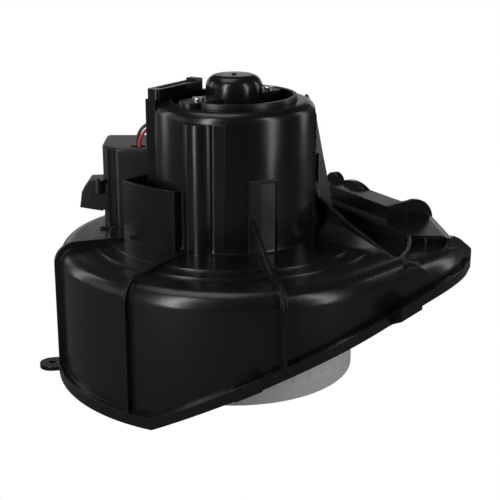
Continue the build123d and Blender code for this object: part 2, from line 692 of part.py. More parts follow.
def make_end_cap():
    """The motor's upper cap with its collar ring, ears and bearing seat."""
    under = cap_floor_z - cap_t
    cap = tube(collar_r, bearing_r, under, cap_floor_z)
    cap += tube(can_r - can_t, can_r - can_t - 3.5, under - 1.5, under + 0.5)
    cap += tube(can_r, collar_r - 4, can_top_z, cap_floor_z)
    sector = prism([(0, 0)] + [polar(80, collar_start + k * collar_span / 6) for k in range(7)], under, collar_top_z)
    cap += tube(collar_r, collar_r - collar_t, under, collar_top_z) & sector
    seat = tube(dome_r - dome_t, bearing_r, under, rear_z + bearing_h - 2)
    seat -= tube(dome_r - dome_t - 1.5, bearing_r + 1.6, cap_floor_z, far)
    cap += seat
    ear_0 = ear_top_z - cap_t
    for angle, reach in ((ear_angle, cap_ear_r), (ear_angle - 180, collar_r - 1)):
        ear = block(dome_r - 1, reach - ear_half, -ear_half, ear_half, ear_0, ear_top_z)
        ear += cylinder(ear_half, ear_0, ear_top_z, reach - ear_half)
        ear = Rot(0, 0, angle) * ear
        post = Rot(0, 0, angle) * block(ear_r - 6, ear_r + 4.5, -4, 4, under, ear_0 + 0.5)
        cap += (ear + post) - cylinder(dome_r, 0, far)
    for k in range(5):
        cap += (Rot(0, 0, collar_start + 22 + 45 * k) * block(dome_r, collar_r - 1, -0.8, 0.8, under, cap_floor_z + 2.5)
                ) - cylinder(dome_r, 0, far)
    for angle in (ear_angle, ear_angle - 180):
        at = polar(ear_r, angle)
        cap -= cylinder(screw_r, under - 1, far, at.X, at.Y)
    keep("end_cap", cap)

    centre = (dome_r - dome_edge_r, dome_top_z - dome_edge_r)
    turns = [heading(centre, 90 * k / dome_sides, dome_edge_r) for k in range(dome_sides + 1)]
    shell = Polyline((0, cap_floor_z), (dome_r, cap_floor_z), *turns, (0, dome_top_z), close=True)
    dome = revolve(Plane.XZ * make_face(shell))
    hollow = cylinder(dome_r - dome_t, cap_floor_z - 1, dome_top_z - dome_t)
    hollow = chamfer(hollow.edges().filter_by(GeomType.CIRCLE).sort_by(Axis.Z)[-1], (dome_edge_r - dome_t) * 0.6)
    dome -= hollow
    dome += cylinder(1.4, dome_top_z - 1, dome_top_z + 0.7)
    dome -= block(-10.5, -6, -1, 0.6, dome_top_z - 1.2, dome_top_z + 1)
    keep("bearing_dome", dome)

    screws = []
    for angle in (ear_angle, ear_angle - 180):
        at = polar(ear_r, angle)
        screw = cylinder(screw_r, plate_z, ear_top_z + 0.5) + cylinder(screw_head_r, ear_top_z, ear_top_z + screw_head_h)
        screw = chamfer(screw.edges().filter_by(GeomType.CIRCLE).sort_by(Axis.Z)[-1], 0.5)
        cross_z = ear_top_z + screw_head_h - 1.1
        screw -= block(-2.1, 2.1, -0.45, 0.45, cross_z, far)
        screw -= block(-0.45, 0.45, -2.1, 2.1, cross_z, far)
        screws.append(Pos(at.X, at.Y, 0) * screw)
    keep("ear_screws", Compound(children=screws))


def make_brushes():
    """Brush plate, brush boxes, brushes, springs and chokes."""
    plate = tube(can_r - can_t, commutator_r + 1.5, plate_z, plate_z + plate_t)
    for angle in (ear_angle, ear_angle - 180):
        at = polar(ear_r, angle)
        plate += cylinder(screw_r + 2, plate_z, cap_floor_z - cap_t, at.X, at.Y)
        plate -= cylinder(screw_r, plate_z - 1, far, at.X, at.Y)
    for k in (0, 1):
        turn = Rot(0, 0, 180 * k)
        plate += turn * block(brush_out + 1.2, brush_out + 2.6, -6, 6, plate_z, brush_z + brush_h / 2)
    keep("brush_plate", plate)

    half = brush_w / 2
    top = brush_z + brush_h / 2
    side = block(commutator_r + 2, brush_out, -half - 1, half + 1, plate_z + plate_t, top + 1)
    side -= block(0, 60, -half - brush_gap, half + brush_gap, plate_z + plate_t - 1, top + brush_gap)
    boxes = [side, Rot(0, 0, 180) * side]
    keep("brush_boxes", Compound(children=boxes))

    brush = block(commutator_r - 2, commutator_r + fit + brush_len, -half, half, brush_z - brush_h / 2, top)
    brush -= cylinder(commutator_r + fit, brush_z - 20, brush_z + 20)
    keep("brush_right", brush)
    keep("brush_left", Rot(0, 0, 180) * brush)

    s0, s1 = commutator_r + fit + brush_len, brush_out + 1.2
    turns, sides = 5, 6
    pitch = (s1 - s0 - spring_wire) / turns
    bends = [polar(spring_r, 360 * k / sides, pitch * k / sides) for k in range(turns * sides + 1)]
    path = Polyline(*bends)
    wire = Plane(origin=path @ 0, z_dir=path % 0) * Rectangle(spring_wire, spring_wire)
    coil = sweep(wire, path=path, transition=Transition.RIGHT)
    coil = Pos(s0 + spring_wire / 2, 0, brush_z) * Rot(0, 90, 0) * coil
    keep("brush_spring_right", coil)
    keep("brush_spring_left", Rot(0, 0, 180) * coil)

    chokes = []
    for k in (0, 1):
        body = cylinder(2.3, -6, 6) + cylinder(3.1, -4.5, 4.5)
        chokes.append(Rot(0, 0, 95 + 180 * k) * Pos(23, 0, plate_z + plate_t + 3.1) * Rot(90, 0, 0) * body)
    keep("suppression_chokes", Compound(children=chokes))


def make_rotor():
    """Shaft, laminated core, windings, commutator, washers and air wheel."""
    shaft = cylinder(shaft_r, shaft_z0, shaft_z1)
    shaft = chamfer(shaft.edges().filter_by(GeomType.CIRCLE), 0.5)
    shaft -= tube(shaft_r + 1, shaft_r - 0.5, clip_z, clip_z + 1.0)
    keep("shaft", shaft)

    core = tube(core_r, shaft_r, core_z0, core_z0 + core_h)
    pocket_r = (core_r - 4 + 13) / 2
    slots = []
    fills = []
    for k in range(slot_count):
        turn = Rot(0, 0, k * 360 / slot_count)
        hole = block(13.5, core_r - 4, -2.4, 2.4, core_z0 - 1, core_z0 + core_h + 1)
        mouth = block(core_r - 5, core_r + 1, -1.1, 1.1, core_z0 - 1, core_z0 + core_h + 1)
        slots += [turn * hole, turn * mouth]
        fills.append(turn * block(13.5, core_r - 4, -2.4, 2.4, core_z0 - 1, core_z0 + core_h + 1))
    core -= slots
    keep("armature_core", core)
    coil = tube(core_r - 3, 9.0, core_z0 - winding_h, core_z0) + tube(core_r - 3, 9.0, core_z0 + core_h, core_z0 + core_h + winding_h)
    rims = [e for e in coil.edges().filter_by(GeomType.CIRCLE)
            if min(abs(e.center().Z - core_z0 + winding_h), abs(e.center().Z - core_z0 - core_h - winding_h)) < 0.1]
    coil = chamfer(rims, 2.0)
    keep("armature_windings", coil + fills)

    com_0 = core_z0 + core_h + winding_h + 0.5
    body = tube(commutator_r - 2.2, shaft_r, com_0, com_0 + commutator_h)
    keep("commutator_core", body)
    bars = tube(commutator_r, commutator_r - 2.2, com_0 + 0.8, com_0 + commutator_h)
    for k in range(slot_count):
        bars -= Rot(0, 0, k * 360 / slot_count) * block(commutator_r - 3, commutator_r + 1, -0.3, 0.3, com_0, far)
    keep("commutator_bars", bars)
    keep("thrust_washers", Compound(children=[
        tube(shaft_r + 2.2, shaft_r, nose_z - 1.2, nose_z - 0.4), tube(shaft_r + 2.2, shaft_r, rear_z - 2.0, rear_z - 1.2)]))

    # The wheel: inlet ring, curved blades, dished back plate and hub
    ring = cylinder(wheel_r, 0, ring_step_z) + cylinder(wheel_r - ring_step, ring_step_z, ring_h)
    ring -= cylinder(wheel_r - ring_step - ring_t, -1, ring_h + 1)
    r_in = wheel_r - blade_depth
    p0 = Vector(r_in, 0)
    p2 = Vector((wheel_r - 0.6) * math.cos(blade_sweep), (wheel_r - 0.6) * math.sin(blade_sweep))
    mid = (p0 + p2) * 0.5 + Vector(p2.Y - p0.Y, p0.X - p2.X) * 0.18
    side = Vector(p0.Y - p2.Y, p2.X - p0.X).normalized() * (blade_t / 2)
    strip = [p0 - side, mid - side, p2 - side, p2 + side, mid + side, p0 + side]
    blade = prism([(v.X, v.Y) for v in strip], 0.6, wheel_h - 0.6)
    outer = cylinder(wheel_r - 0.4, 0, wheel_h)
    blades = [Rot(0, 0, k * 360 / blade_count) * blade for k in range(blade_count)]
    top = tube(wheel_r, r_in - 2, wheel_h - dish_t, wheel_h)
    low_z = wheel_h - dish_drop
    upper = [(r_in - 2, wheel_h), (r_in - 10, wheel_h - 1.0), (43, low_z + 8.6), (28, low_z + 2.6), (hub_r, low_z)]
    lower = [(x, z - dish_t) for x, z in reversed(upper)]
    dish = revolve(Plane.XZ * make_face(Polyline(*upper, *lower, close=True)))
    hub = tube(hub_r, insert_r, low_z - hub_h + 4, low_z + 4)
    webs = [Rot(0, 0, 60 * k) * block(hub_r - 1, 24, -0.9, 0.9, low_z - 8, low_z - 0.5) for k in range(6)]
    ring_web = tube(24.9, 23.1, low_z - 8, low_z - 0.5)
    wheel = ring + blades + [top, dish, hub, ring_web] + webs
    keep("wheel", wheel)
    insert = tube(insert_r, shaft_r, low_z - hub_h + 4, low_z + 4)
    keep("wheel_insert", insert)
    hub_clip = tube(shaft_r + 2.6, shaft_r - 0.5, clip_z, clip_z + 1.0)
    hub_clip -= block(0, 10, -1.6, 1.6, clip_z - 1, clip_z + 2)
    keep("hub_clip", hub_clip)
    balance = Rot(0, 0, 200) * block(r_in - 2, r_in + 3, -3, 3, wheel_h, wheel_h + 0.9)
    balance += Rot(0, 0, 200) * block(r_in + 3, r_in + 6.5, -3, 3, wheel_h, wheel_h + 0.9)
    keep("balance_clip", balance)


def make_regulator():
    """Regulator case with its board, transistor, heat sink and connector."""
    x0, x1, y0, y1 = box_x0, box_x1, box_y0, box_y1
    foot = deck_z + pad_h
    case = block(x0, x1, y0, y1, foot, box_top_z)
    upright = case.edges().filter_by(Axis.Z)
    near_left = upright.sort_by(lambda e: e.center().X + e.center().Y)[0]
    case = fillet(near_left, box_corner_r)
    case = fillet(case.edges().filter_by(Axis.Z).filter_by(lambda e: e.center().Y > y1 - 1), 3.0)
    hollow = block(x0 + box_t, x1 - box_t, y0 + box_t, y1 - box_t, foot - 1, box_top_z - box_t)
    hollow = fillet(hollow.edges().filter_by(Axis.Z).sort_by(lambda e: e.center().X + e.center().Y)[0], box_corner_r - box_t)
    case = chamfer(case.edges().filter_by(lambda e: e.center().Z > box_top_z - 0.1), 1.0)
    outer_case = case
    case -= hollow
    case -= cylinder(cup_r + seat_gap, 0, far)
    for angle in (228.6, 247.0):
        ridge = Rot(0, 0, angle) * block(box_corner_r - 0.5, box_corner_r + 0.9, -0.5, 0.5, foot, box_top_z - 1)
        case += Pos(x0 + box_corner_r, y0 + box_corner_r, 0) * ridge
    case += block(x0 + box_corner_r - 2.7, x1, y0 - 0.9, y0 + 0.5, foot, box_top_z - 1.8)
    case -= block(-60.5, -52.0, 13.6, 19.0, box_top_z - box_t - 1, far)
    case -= block(x0 - 1, x0 + 6, tab_y0 + tab_pin_y - 0.8, tab_y0 + tab_pin_y + 2 * pin_pitch + 0.8, 95.5, 98.5)
    for y in (y0 + 6, y1 - 6):
        case += block(x1 - 6, x1 - box_t, y - 2, y + 2, foot, board_z)
    screws_at = [(x0 + box_corner_r, y0 + 5), (x0 + 5, y1 - 6)]
    for x, y in screws_at:
        case += cylinder(3.4, foot, board_z, x, y)
        case -= cylinder(screw_small_r, foot - 1, board_z + 1, x, y)
    keep("regulator_case", case)
    board = block(x0 + 3.5, x1 - 6, y0 + 8.2, y1 - 3.5, board_z, board_z + 1.6)
    board += block(x0 + box_corner_r - 1, x1 - 3, y0 + 3.5, y0 + 11, board_z, board_z + 1.6)
    board = board - cylinder(cup_r + 5, 0, far)
    keep("regulator_board", board)
    screws = []
    for x, y in screws_at:
        screw = cylinder(screw_small_r, board_z - 8, board_z + 2, x, y) + cylinder(2.4, board_z + 1.6, board_z + 3, x, y)
        screws.append(screw)
    board -= [cylinder(screw_small_r, 0, far, x, y) for x, y in screws_at]
    keep("regulator_board", board)
    keep("regulator_screws", Compound(children=screws))

    sx0, sx1, sy0, sy1 = sink_window
    plate_0 = deck_z - wall_t
    sink = block(sx0, sx1, sy0, sy1, plate_0 - 1, foot)
    sink += block(sx0 - 1.5, sx1 + 1.5, sy0 - 1.5, sy1 + 1.5, plate_0 - 2.2, plate_0)
    sink += block(-72, -57.5, 21, 37, foot - 1, foot + 2)
    fin_region = block(sx0, sx1, sy0, sy1, fin_low_z, plate_0) - cylinder(wheel_r + 3, 0, wheel_h + 4)
    fins = []
    pitch = (sy1 - sy0 - 2 - 1.6) / 7
    for k in range(8):
        fins.append(block(sx0, sx1, sy0 + 1 + pitch * k, sy0 + 2.6 + pitch * k, fin_low_z, plate_0) & fin_region)
    sink += fins
    sink -= parts["scroll_cover"]
    keep("heat_sink", sink)
    chip_z = foot + 2
    chip = block(-70, -60, 24, 34, chip_z, chip_z + 3.6) + block(-70, -60, 22, 36, chip_z, chip_z + 1.4)
    for k in range(3):
        leg = block(-60.5, -57, 25.9 + 2.6 * k, 26.9 + 2.6 * k, chip_z + 1.6, chip_z + 2.6)
        leg += block(-58, -57, 25.9 + 2.6 * k, 26.9 + 2.6 * k, chip_z + 1.6, board_z)
        chip += leg
    keep("regulator_transistor", chip)

    # Connector shell, closed in front and open to the back, with its pins
    outline = [(-91.6, 89.5), (-90.2, 99), (-85.6, 105.6), (-76.4, 106), (x0 + 0.0, 104), (x0 + 0.0, 87.2)]
    shell_face = Plane(origin=(0, tab_y0, 0), x_dir=(1, 0, 0), z_dir=(0, -1, 0)) * make_face(Polyline(*outline, close=True))
    shell = extrude(shell_face, -(tab_y1 - tab_y0))
    shell -= block(-88.2, x0 - 1.8, tab_y0 + tab_front, tab_y1 + 1, 91.2, 102.6)
    shell += block(x0 - 1, x0 + box_corner_r, tab_y0, tab_y0 + box_corner_r, 88, 104)
    latch = cylinder(latch_r, 98.5, 106.4, latch_x, tab_y0 + 0.5) - cylinder(latch_r - 1, 99.5, far, latch_x, tab_y0 + 0.5)
    latch += cylinder(1.1, 98.5, 107.4, latch_x, tab_y0 - 1.2)
    shell += latch & block(-200, 0, 0, tab_y0 + 0.1, 0, 200)
    shell -= outer_case
    pins = []
    for k in range(3):
        x, y = -86.0 + 2.8 * k, tab_y0 + tab_pin_y + pin_pitch * k
        pin = block(x - 0.5, x + 0.5, y, tab_y1 - 4, 96.6, 97.4) + block(x - 0.5, pin_x, y - 0.4, y + 0.4, 96.6, 97.4)
        pins.append(pin + block(pin_x - 0.8, pin_x, y - 0.4, y + 0.4, board_z + 1.6, 97.4))
    shell -= pins
    keep("connector_shell", shell)
    keep("connector_pins", Compound(children=pins))


def route(dx, dy, dz):
    """The corners of a motor lead between the cup and the regulator case."""
    start = Vector(lead_x + dx, lead_y + dy, lead_z + dz)
    a = start - Vector(lead_run, 0, 0)
    b = a - Vector(lead_drop * math.cos(math.radians(lead_turn)), 0, lead_drop * math.sin(math.radians(lead_turn)))
    end = b + Vector(lead_end * math.cos(math.radians(lead_turn)), 0, -lead_end * math.sin(math.radians(lead_turn)))
    return [start, a, b, end]


def make_leads():
    """The two motor leads, their grommet and their terminals."""
    routes = {"black_lead": route(0, 0, 0), "red_lead": route(lead_in, -lead_gap, -lead_under)}
    for name, points in routes.items():
        radii = []
        for k in (1, 2):
            before, after = points[k] - points[k - 1], points[k + 1] - points[k]
            turn = before.get_angle(after)
            radii.append(0.45 * min(before.length, after.length) / math.tan(math.radians(turn / 2)))
        line = FilletPolyline(*points, radius=radii)
        lead = sweep(Plane(origin=line @ 0, z_dir=line % 0) * Circle(lead_d / 2), path=line)
        ratio = lead.volume / (line.length * math.pi * lead_d ** 2 / 4)
        print(name, "radii", [round(r, 2) for r in radii], "length", round(line.length, 1), "ratio", round(ratio, 4))
        keep(name, lead)
    leads = [parts["black_lead"], parts["red_lead"]]

    w, h = grommet_w / 2, grommet_h / 2
    grommet = block(cup_r - cup_wall - 0.6, cup_r + 1.4, -w, w, grommet_z - h, grommet_z + h)
    grommet += block(cup_r, cup_r + 1.4, -w - 1, w + 1, grommet_z - h - 1, grommet_z + h + 1)
    grommet = Rot(0, 0, grommet_angle) * grommet
    grommet -= parts["scroll_cover"]
    for points in routes.values():
        p = points[0]
        grommet -= Pos(p.X, p.Y, p.Z) * Rot(0, 90, 0) * Cylinder(lead_d / 2, 40)
    keep("lead_grommet", grommet)
    posts = []
    room = cylinder(cup_r - cup_wall - 0.7, 0, far) - cylinder(can_r, -1, far)
    for points in routes.values():
        start, end = points[0], points[-1]
        socket = block(start.X, start.X + 3.4, start.Y - 1.1, start.Y + 1.1, start.Z - 1.1, start.Z + 1.1)
        posts.append(socket & room)
        posts.append(block(end.X - 0.4, end.X + 0.6, end.Y - 1.1, end.Y + 1.1, board_z + 1.6, end.Z + 0.2) - leads)
    keep("lead_terminals", Compound(children=posts))


if __name__ == "__main__":
    os.makedirs("parts", exist_ok=True)
    keep("scroll_cover", make_cover())
    make_motor()
    make_end_cap()
    make_brushes()
    make_rotor()
    make_regulator()
    make_leads()
    for name, shape in parts.items():
        export_step(shape, f"parts/{name}.step")
    print(len(parts), "nodes,", sum(len(s.solids()) for s in parts.values()), "solids")
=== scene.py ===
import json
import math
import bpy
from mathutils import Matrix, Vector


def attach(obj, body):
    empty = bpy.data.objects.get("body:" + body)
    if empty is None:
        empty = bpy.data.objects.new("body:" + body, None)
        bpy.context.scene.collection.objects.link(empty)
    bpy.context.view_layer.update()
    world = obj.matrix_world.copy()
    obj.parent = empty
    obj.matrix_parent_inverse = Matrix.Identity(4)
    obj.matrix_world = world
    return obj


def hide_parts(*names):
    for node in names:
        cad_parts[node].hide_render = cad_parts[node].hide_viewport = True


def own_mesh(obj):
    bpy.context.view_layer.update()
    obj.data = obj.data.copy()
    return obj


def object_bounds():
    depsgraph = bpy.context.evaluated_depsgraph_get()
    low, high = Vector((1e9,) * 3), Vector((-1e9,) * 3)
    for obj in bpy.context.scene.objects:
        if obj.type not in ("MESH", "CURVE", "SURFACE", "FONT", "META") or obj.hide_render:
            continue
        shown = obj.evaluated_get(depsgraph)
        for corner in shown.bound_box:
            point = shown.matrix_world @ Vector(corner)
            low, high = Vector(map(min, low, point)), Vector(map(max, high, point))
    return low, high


bl_info = {
    "name": "Heater blower motor",
    "version": (1, 0, 0),
    "blender": (4, 5, 0),
    "location": "View3D > Sidebar > Blower",
    "description": "Dresses the packed heater blower motor with its moulded shapes and finishes",
    "category": "Object",
}

import bmesh
import bpy
from bpy.props import FloatProperty, FloatVectorProperty, IntProperty, PointerProperty
from mathutils import Matrix, Vector

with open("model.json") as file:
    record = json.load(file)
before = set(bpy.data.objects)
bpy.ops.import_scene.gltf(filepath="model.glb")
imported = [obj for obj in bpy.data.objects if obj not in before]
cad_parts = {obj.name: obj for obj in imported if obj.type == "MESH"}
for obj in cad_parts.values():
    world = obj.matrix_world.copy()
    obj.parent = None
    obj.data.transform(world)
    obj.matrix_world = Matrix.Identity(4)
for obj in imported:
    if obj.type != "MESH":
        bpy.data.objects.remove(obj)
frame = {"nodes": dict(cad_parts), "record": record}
CAD_BOX = [list(corner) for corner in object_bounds()]
NODES = frame["nodes"]
BODY_OF = {node: body for body, nodes in frame["record"]["behaviour"]["bodies"].items() for node in nodes}


# Node trees

class Link:
    """A socket of a node tree that works as a number in Python expressions."""

    def __init__(self, tree, socket):
        self.tree = tree
        self.socket = socket

    def _math(self, operation, *values):
        return self.tree.node("ShaderNodeMath", {"operation": operation}, *values)

    def __add__(self, other):
        return self._math("ADD", self, other)

    def __radd__(self, other):
        return self._math("ADD", other, self)

    def __sub__(self, other):
        return self._math("SUBTRACT", self, other)

    def __rsub__(self, other):
        return self._math("SUBTRACT", other, self)

    def __mul__(self, other):
        return self._math("MULTIPLY", self, other)

    def __rmul__(self, other):
        return self._math("MULTIPLY", other, self)

    def __truediv__(self, other):
        return self._math("DIVIDE", self, other)

    def __pow__(self, other):
        return self._math("POWER", self, other)

    def clamped(self, low, high):
        return self._math("MINIMUM", self._math("MAXIMUM", self, low), high)


class Nodes:
    """A node tree, with one method that makes every node."""

    def node(self, kind, settings, *values, out=0, **named):
        made = self.tree.nodes.new(kind)
        for key, value in settings.items():
            if key == "stops":
                ramp = made.color_ramp
                while len(ramp.elements) > 1:
                    ramp.elements.remove(ramp.elements[-1])
                ramp.elements[0].position, ramp.elements[0].color = value[0]
                for position, color in value[1:]:
                    ramp.elements.new(position).color = color
            else:
                setattr(made, key, value)
        pairs = list(enumerate(values)) + [(key.replace("_", " "), value) for key, value in named.items()]
        for key, value in pairs:
            if value is None:
                continue
            if isinstance(value, Link):
                self.tree.links.new(value.socket, made.inputs[key])
            else:
                made.inputs[key].default_value = value
        return Link(self, made.outputs[out])


class Finish(Nodes):
    """A material's node tree."""

    def __init__(self, name):
        self.material = bpy.data.materials.new(name)
        self.material.use_nodes = True
        self.tree = self.material.node_tree
        self.tree.nodes.clear()
        self.output = self.tree.nodes.new("ShaderNodeOutputMaterial")

    def place(self):
        return self.node("ShaderNodeTexCoord", {}, out="Object")

    def noise(self, scale, detail=3.0, rough=0.5, place=None):
        return self.node("ShaderNodeTexNoise", {}, Vector=place or self.place(), Scale=scale, Detail=detail,
                         Roughness=rough, out="Fac")

    def blend(self, mask, low, high):
        mix = self.tree.nodes.new("ShaderNodeMix")
        mix.data_type = "RGBA"
        for socket, value in ((mix.inputs[0], mask), (mix.inputs[6], low), (mix.inputs[7], high)):
            if isinstance(value, Link):
                self.tree.links.new(value.socket, socket)
            else:
                socket.default_value = value
        return Link(self, mix.outputs[2])

    def finish(self, **sockets):
        shader = self.tree.nodes.new("ShaderNodeBsdfPrincipled")
        for key, value in sockets.items():
            socket = shader.inputs[key.replace("_", " ")]
            if isinstance(value, Link):
                self.tree.links.new(value.socket, socket)
            else:
                socket.default_value = value
        self.tree.links.new(shader.outputs[0], self.output.inputs["Surface"])
        return self.material


def grey(value):
    """A grey with full alpha."""
    return (value, value, value, 1.0)


def moulded(name, colour, gloss, grain, edge, coat=0.0):
    """Injection moulded plastic: flow marks in the gloss, a fine grain and soft edges."""
    f = Finish(name)
    place = f.place()
    flow = f.noise(9.0, 4.0, 0.55, place)
    fine = f.noise(2600.0, 2.0, 0.5, place)
    scuff = f.noise(60.0, 6.0, 0.7, place)
    tone = (flow * 0.6 + scuff * 0.4).clamped(0.0, 1.0)
    dark = tuple(c * 0.86 for c in colour[:3]) + (1.0,)
    light = tuple(min(1.0, c * 1.18) for c in colour[:3]) + (1.0,)
    rough = (gloss + (flow - 0.5) * 0.10 + (scuff - 0.5) * 0.06).clamped(0.05, 1.0)
    rounded = f.node("ShaderNodeBevel", {"samples": 6}, Radius=edge)
    normal = f.node("ShaderNodeBump", {}, Strength=grain, Distance=0.0001, Height=fine, Normal=rounded)
    return f.finish(Base_Color=f.blend(tone, dark, light), Roughness=rough, Normal=normal,
                    Specular_IOR_Level=0.5, Coat_Weight=coat, Coat_Roughness=0.2)


def metal(name, colour, gloss, brush=0.0, edge=0.0003):
    """Plated or turned metal, with a fine brushed grain."""
    f = Finish(name)
    place = f.place()
    cloud = f.noise(120.0, 5.0, 0.6, place)
    fine = f.noise(1800.0, 2.0, 0.5, place)
    dark = tuple(c * 0.8 for c in colour[:3]) + (1.0,)
    rough = (gloss + (cloud - 0.5) * 0.2).clamped(0.05, 1.0)
    rounded = f.node("ShaderNodeBevel", {"samples": 4}, Radius=edge)
    normal = f.node("ShaderNodeBump", {}, Strength=0.1 + brush, Distance=0.0001, Height=fine, Normal=rounded)
    return f.finish(Base_Color=f.blend(cloud, dark, colour), Metallic=1.0, Roughness=rough, Normal=normal)


def soft_rubber(name, colour):
    """Dull rubber with a little dust."""
    f = Finish(name)
    place = f.place()
    fine = f.noise(1400.0, 3.0, 0.6, place)
    dust = f.noise(90.0, 5.0, 0.6, place)
    rough = (0.62 + (dust - 0.5) * 0.2).clamped(0.2, 1.0)
    light = tuple(c * 1.5 + 0.01 for c in colour[:3]) + (1.0,)
    normal = f.node("ShaderNodeBump", {}, Strength=0.3, Distance=0.0001, Height=fine)
    return f.finish(Base_Color=f.blend(dust, colour, light), Roughness=rough, Normal=normal)


# Meshes

def add_piece(name, data, body, slot, material, *stands_for):
    """A visible piece with its finish, its body and the CAD nodes that it replaces; the slot argument is not
    used.
    """
    piece = bpy.data.objects.new(name, data)
    bpy.context.scene.collection.objects.link(piece)
    piece.data.materials.clear()
    piece.data.materials.append(material)
    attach(piece, body)
    if stands_for:
        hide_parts(*stands_for)
    return piece


def shade(bm, sharp_deg):
    """Smooth where two faces meet at a small angle, sharp elsewhere."""
    limit = math.radians(sharp_deg)
    for edge in bm.edges:
        edge.smooth = len(edge.link_faces) == 2 and edge.calc_face_angle(math.pi) < limit
    for face in bm.faces:
        face.smooth = True


def smooth_copy(node, sharp_deg=32.0):
    """A merged copy of a CAD node's mesh, smooth where its faces meet at a small angle."""
    source = NODES[node]
    mesh = source.data.copy()
    bm = bmesh.new()
    bm.from_mesh(mesh)
    bmesh.ops.transform(bm, matrix=source.matrix_world, verts=bm.verts)
    bmesh.ops.remove_doubles(bm, verts=bm.verts, dist=2e-6)
    bmesh.ops.dissolve_degenerate(bm, edges=bm.edges, dist=1e-6)
    shade(bm, sharp_deg)
    bm.to_mesh(mesh)
    bm.free()
    return even(mesh)


def even(mesh):
    """The same mesh with its large flat faces ruling the shading beside them."""
    holder = bpy.data.objects.new("holder", mesh)
    bpy.context.scene.collection.objects.link(holder)
    modifier = holder.modifiers.new("even", "WEIGHTED_NORMAL")
    modifier.keep_sharp = True
    modifier.weight = 100
    made = bpy.data.meshes.new_from_object(holder.evaluated_get(bpy.context.evaluated_depsgraph_get()))
    holder.modifiers.remove(modifier)
    bpy.data.objects.remove(holder)
    return made


def slot_of(node):
    """The material slot that the record gives a CAD node."""
    for part in frame["record"]["subparts"]:
        if part["node"] == node:
            return part["material_slot"]
    raise RuntimeError("no slot for " + node)


def mesh_of(name, verts, faces, sharp_deg=32.0):
    """A closed mesh from its corners and faces, with its normals outwards."""
    mesh = bpy.data.meshes.new(name)
    mesh.from_pydata(verts, [], faces)
    bm = bmesh.new()
    bm.from_mesh(mesh)
    bmesh.ops.recalc_face_normals(bm, faces=bm.faces)
    shade(bm, sharp_deg)
    bm.to_mesh(mesh)
    bm.free()
    return mesh


def lathe(name, profile, steps=96, sharp_deg=32.0):
    """A closed half section, given as radius and height, turned round the Z axis."""
    count = len(profile)
    verts = []
    for k in range(steps):
        c, s = math.cos(2 * math.pi * k / steps), math.sin(2 * math.pi * k / steps)
        verts += [(r * c, r * s, z) for r, z in profile]
    faces = []
    for k in range(steps):
        a, b = k * count, (k + 1) % steps * count
        faces += [(a + i, b + i, b + (i + 1) % count, a + (i + 1) % count) for i in range(count)]
    return mesh_of(name, verts, faces, sharp_deg)


def rounded(profile, radius, sides=4):
    """A closed section with each corner turned into a small arc."""
    points = []
    count = len(profile)
    for k, corner in enumerate(profile):
        here = Vector(corner)
        before = Vector(profile[k - 1]) - here
        after = Vector(profile[(k + 1) % count]) - here
        reach = min(radius, before.length * 0.45, after.length * 0.45)
        start = here + before.normalized() * reach
        end = here + after.normalized() * reach
        for i in range(sides + 1):
            t = i / sides
            points.append(tuple(start * (1 - t) ** 2 + here * 2 * t * (1 - t) + end * t ** 2))
    return points


def ribbon(name, line, half, z0, z1, round_to=3):
    """A curved strip of even thickness with round edges, standing upright."""
    turns = []
    for k, p in enumerate(line):
        along = (Vector(line[min(k + 1, len(line) - 1)]) - Vector(line[max(k - 1, 0)])).normalized()
        turns.append((Vector(p), Vector((-along.y, along.x))))
    ring = [p + n * half for p, n in turns]
    end, out = turns[-1]
    ahead = Vector((out.y, -out.x))
    ring += [end + out * half * math.cos(a) + ahead * half * math.sin(a)
             for a in [math.pi * i / (round_to + 1) for i in range(1, round_to + 1)]]
    ring += [p - n * half for p, n in reversed(turns)]
    start, out = turns[0]
    ahead = Vector((out.y, -out.x))
    ring += [start - out * half * math.cos(a) - ahead * half * math.sin(a)
             for a in [math.pi * i / (round_to + 1) for i in range(1, round_to + 1)]]
    count = len(ring)
    verts = [(p.x, p.y, z0) for p in ring] + [(p.x, p.y, z1) for p in ring]
    faces = [(k, (k + 1) % count, count + (k + 1) % count, count + k) for k in range(count)]
    faces += [tuple(range(count)), tuple(range(count, 2 * count))]
    return mesh_of(name, verts, faces, 50.0)


def joined(name, *meshes):
    """Several meshes as one."""
    bm = bmesh.new()
    for mesh in meshes:
        bm.from_mesh(mesh)
    made = bpy.data.meshes.new(name)
    bm.to_mesh(made)
    bm.free()
    return made


def plate(x0, x1, y0, y1, z0, z1):
    """Corners and faces of a block."""
    verts = [(x, y, z) for z in (z0, z1) for x, y in ((x0, y0), (x1, y0), (x1, y1), (x0, y1))]
    faces = [(3, 2, 1, 0), (4, 5, 6, 7)] + [(k, (k + 1) % 4, 4 + (k + 1) % 4, 4 + k) for k in range(4)]
    return verts, faces


def turned(angle, radius, offset):
    """A point at a radius and a sideways offset, turned round the axis."""
    c, s = math.cos(angle), math.sin(angle)
    return (radius * c - offset * s, radius * s + offset * c)


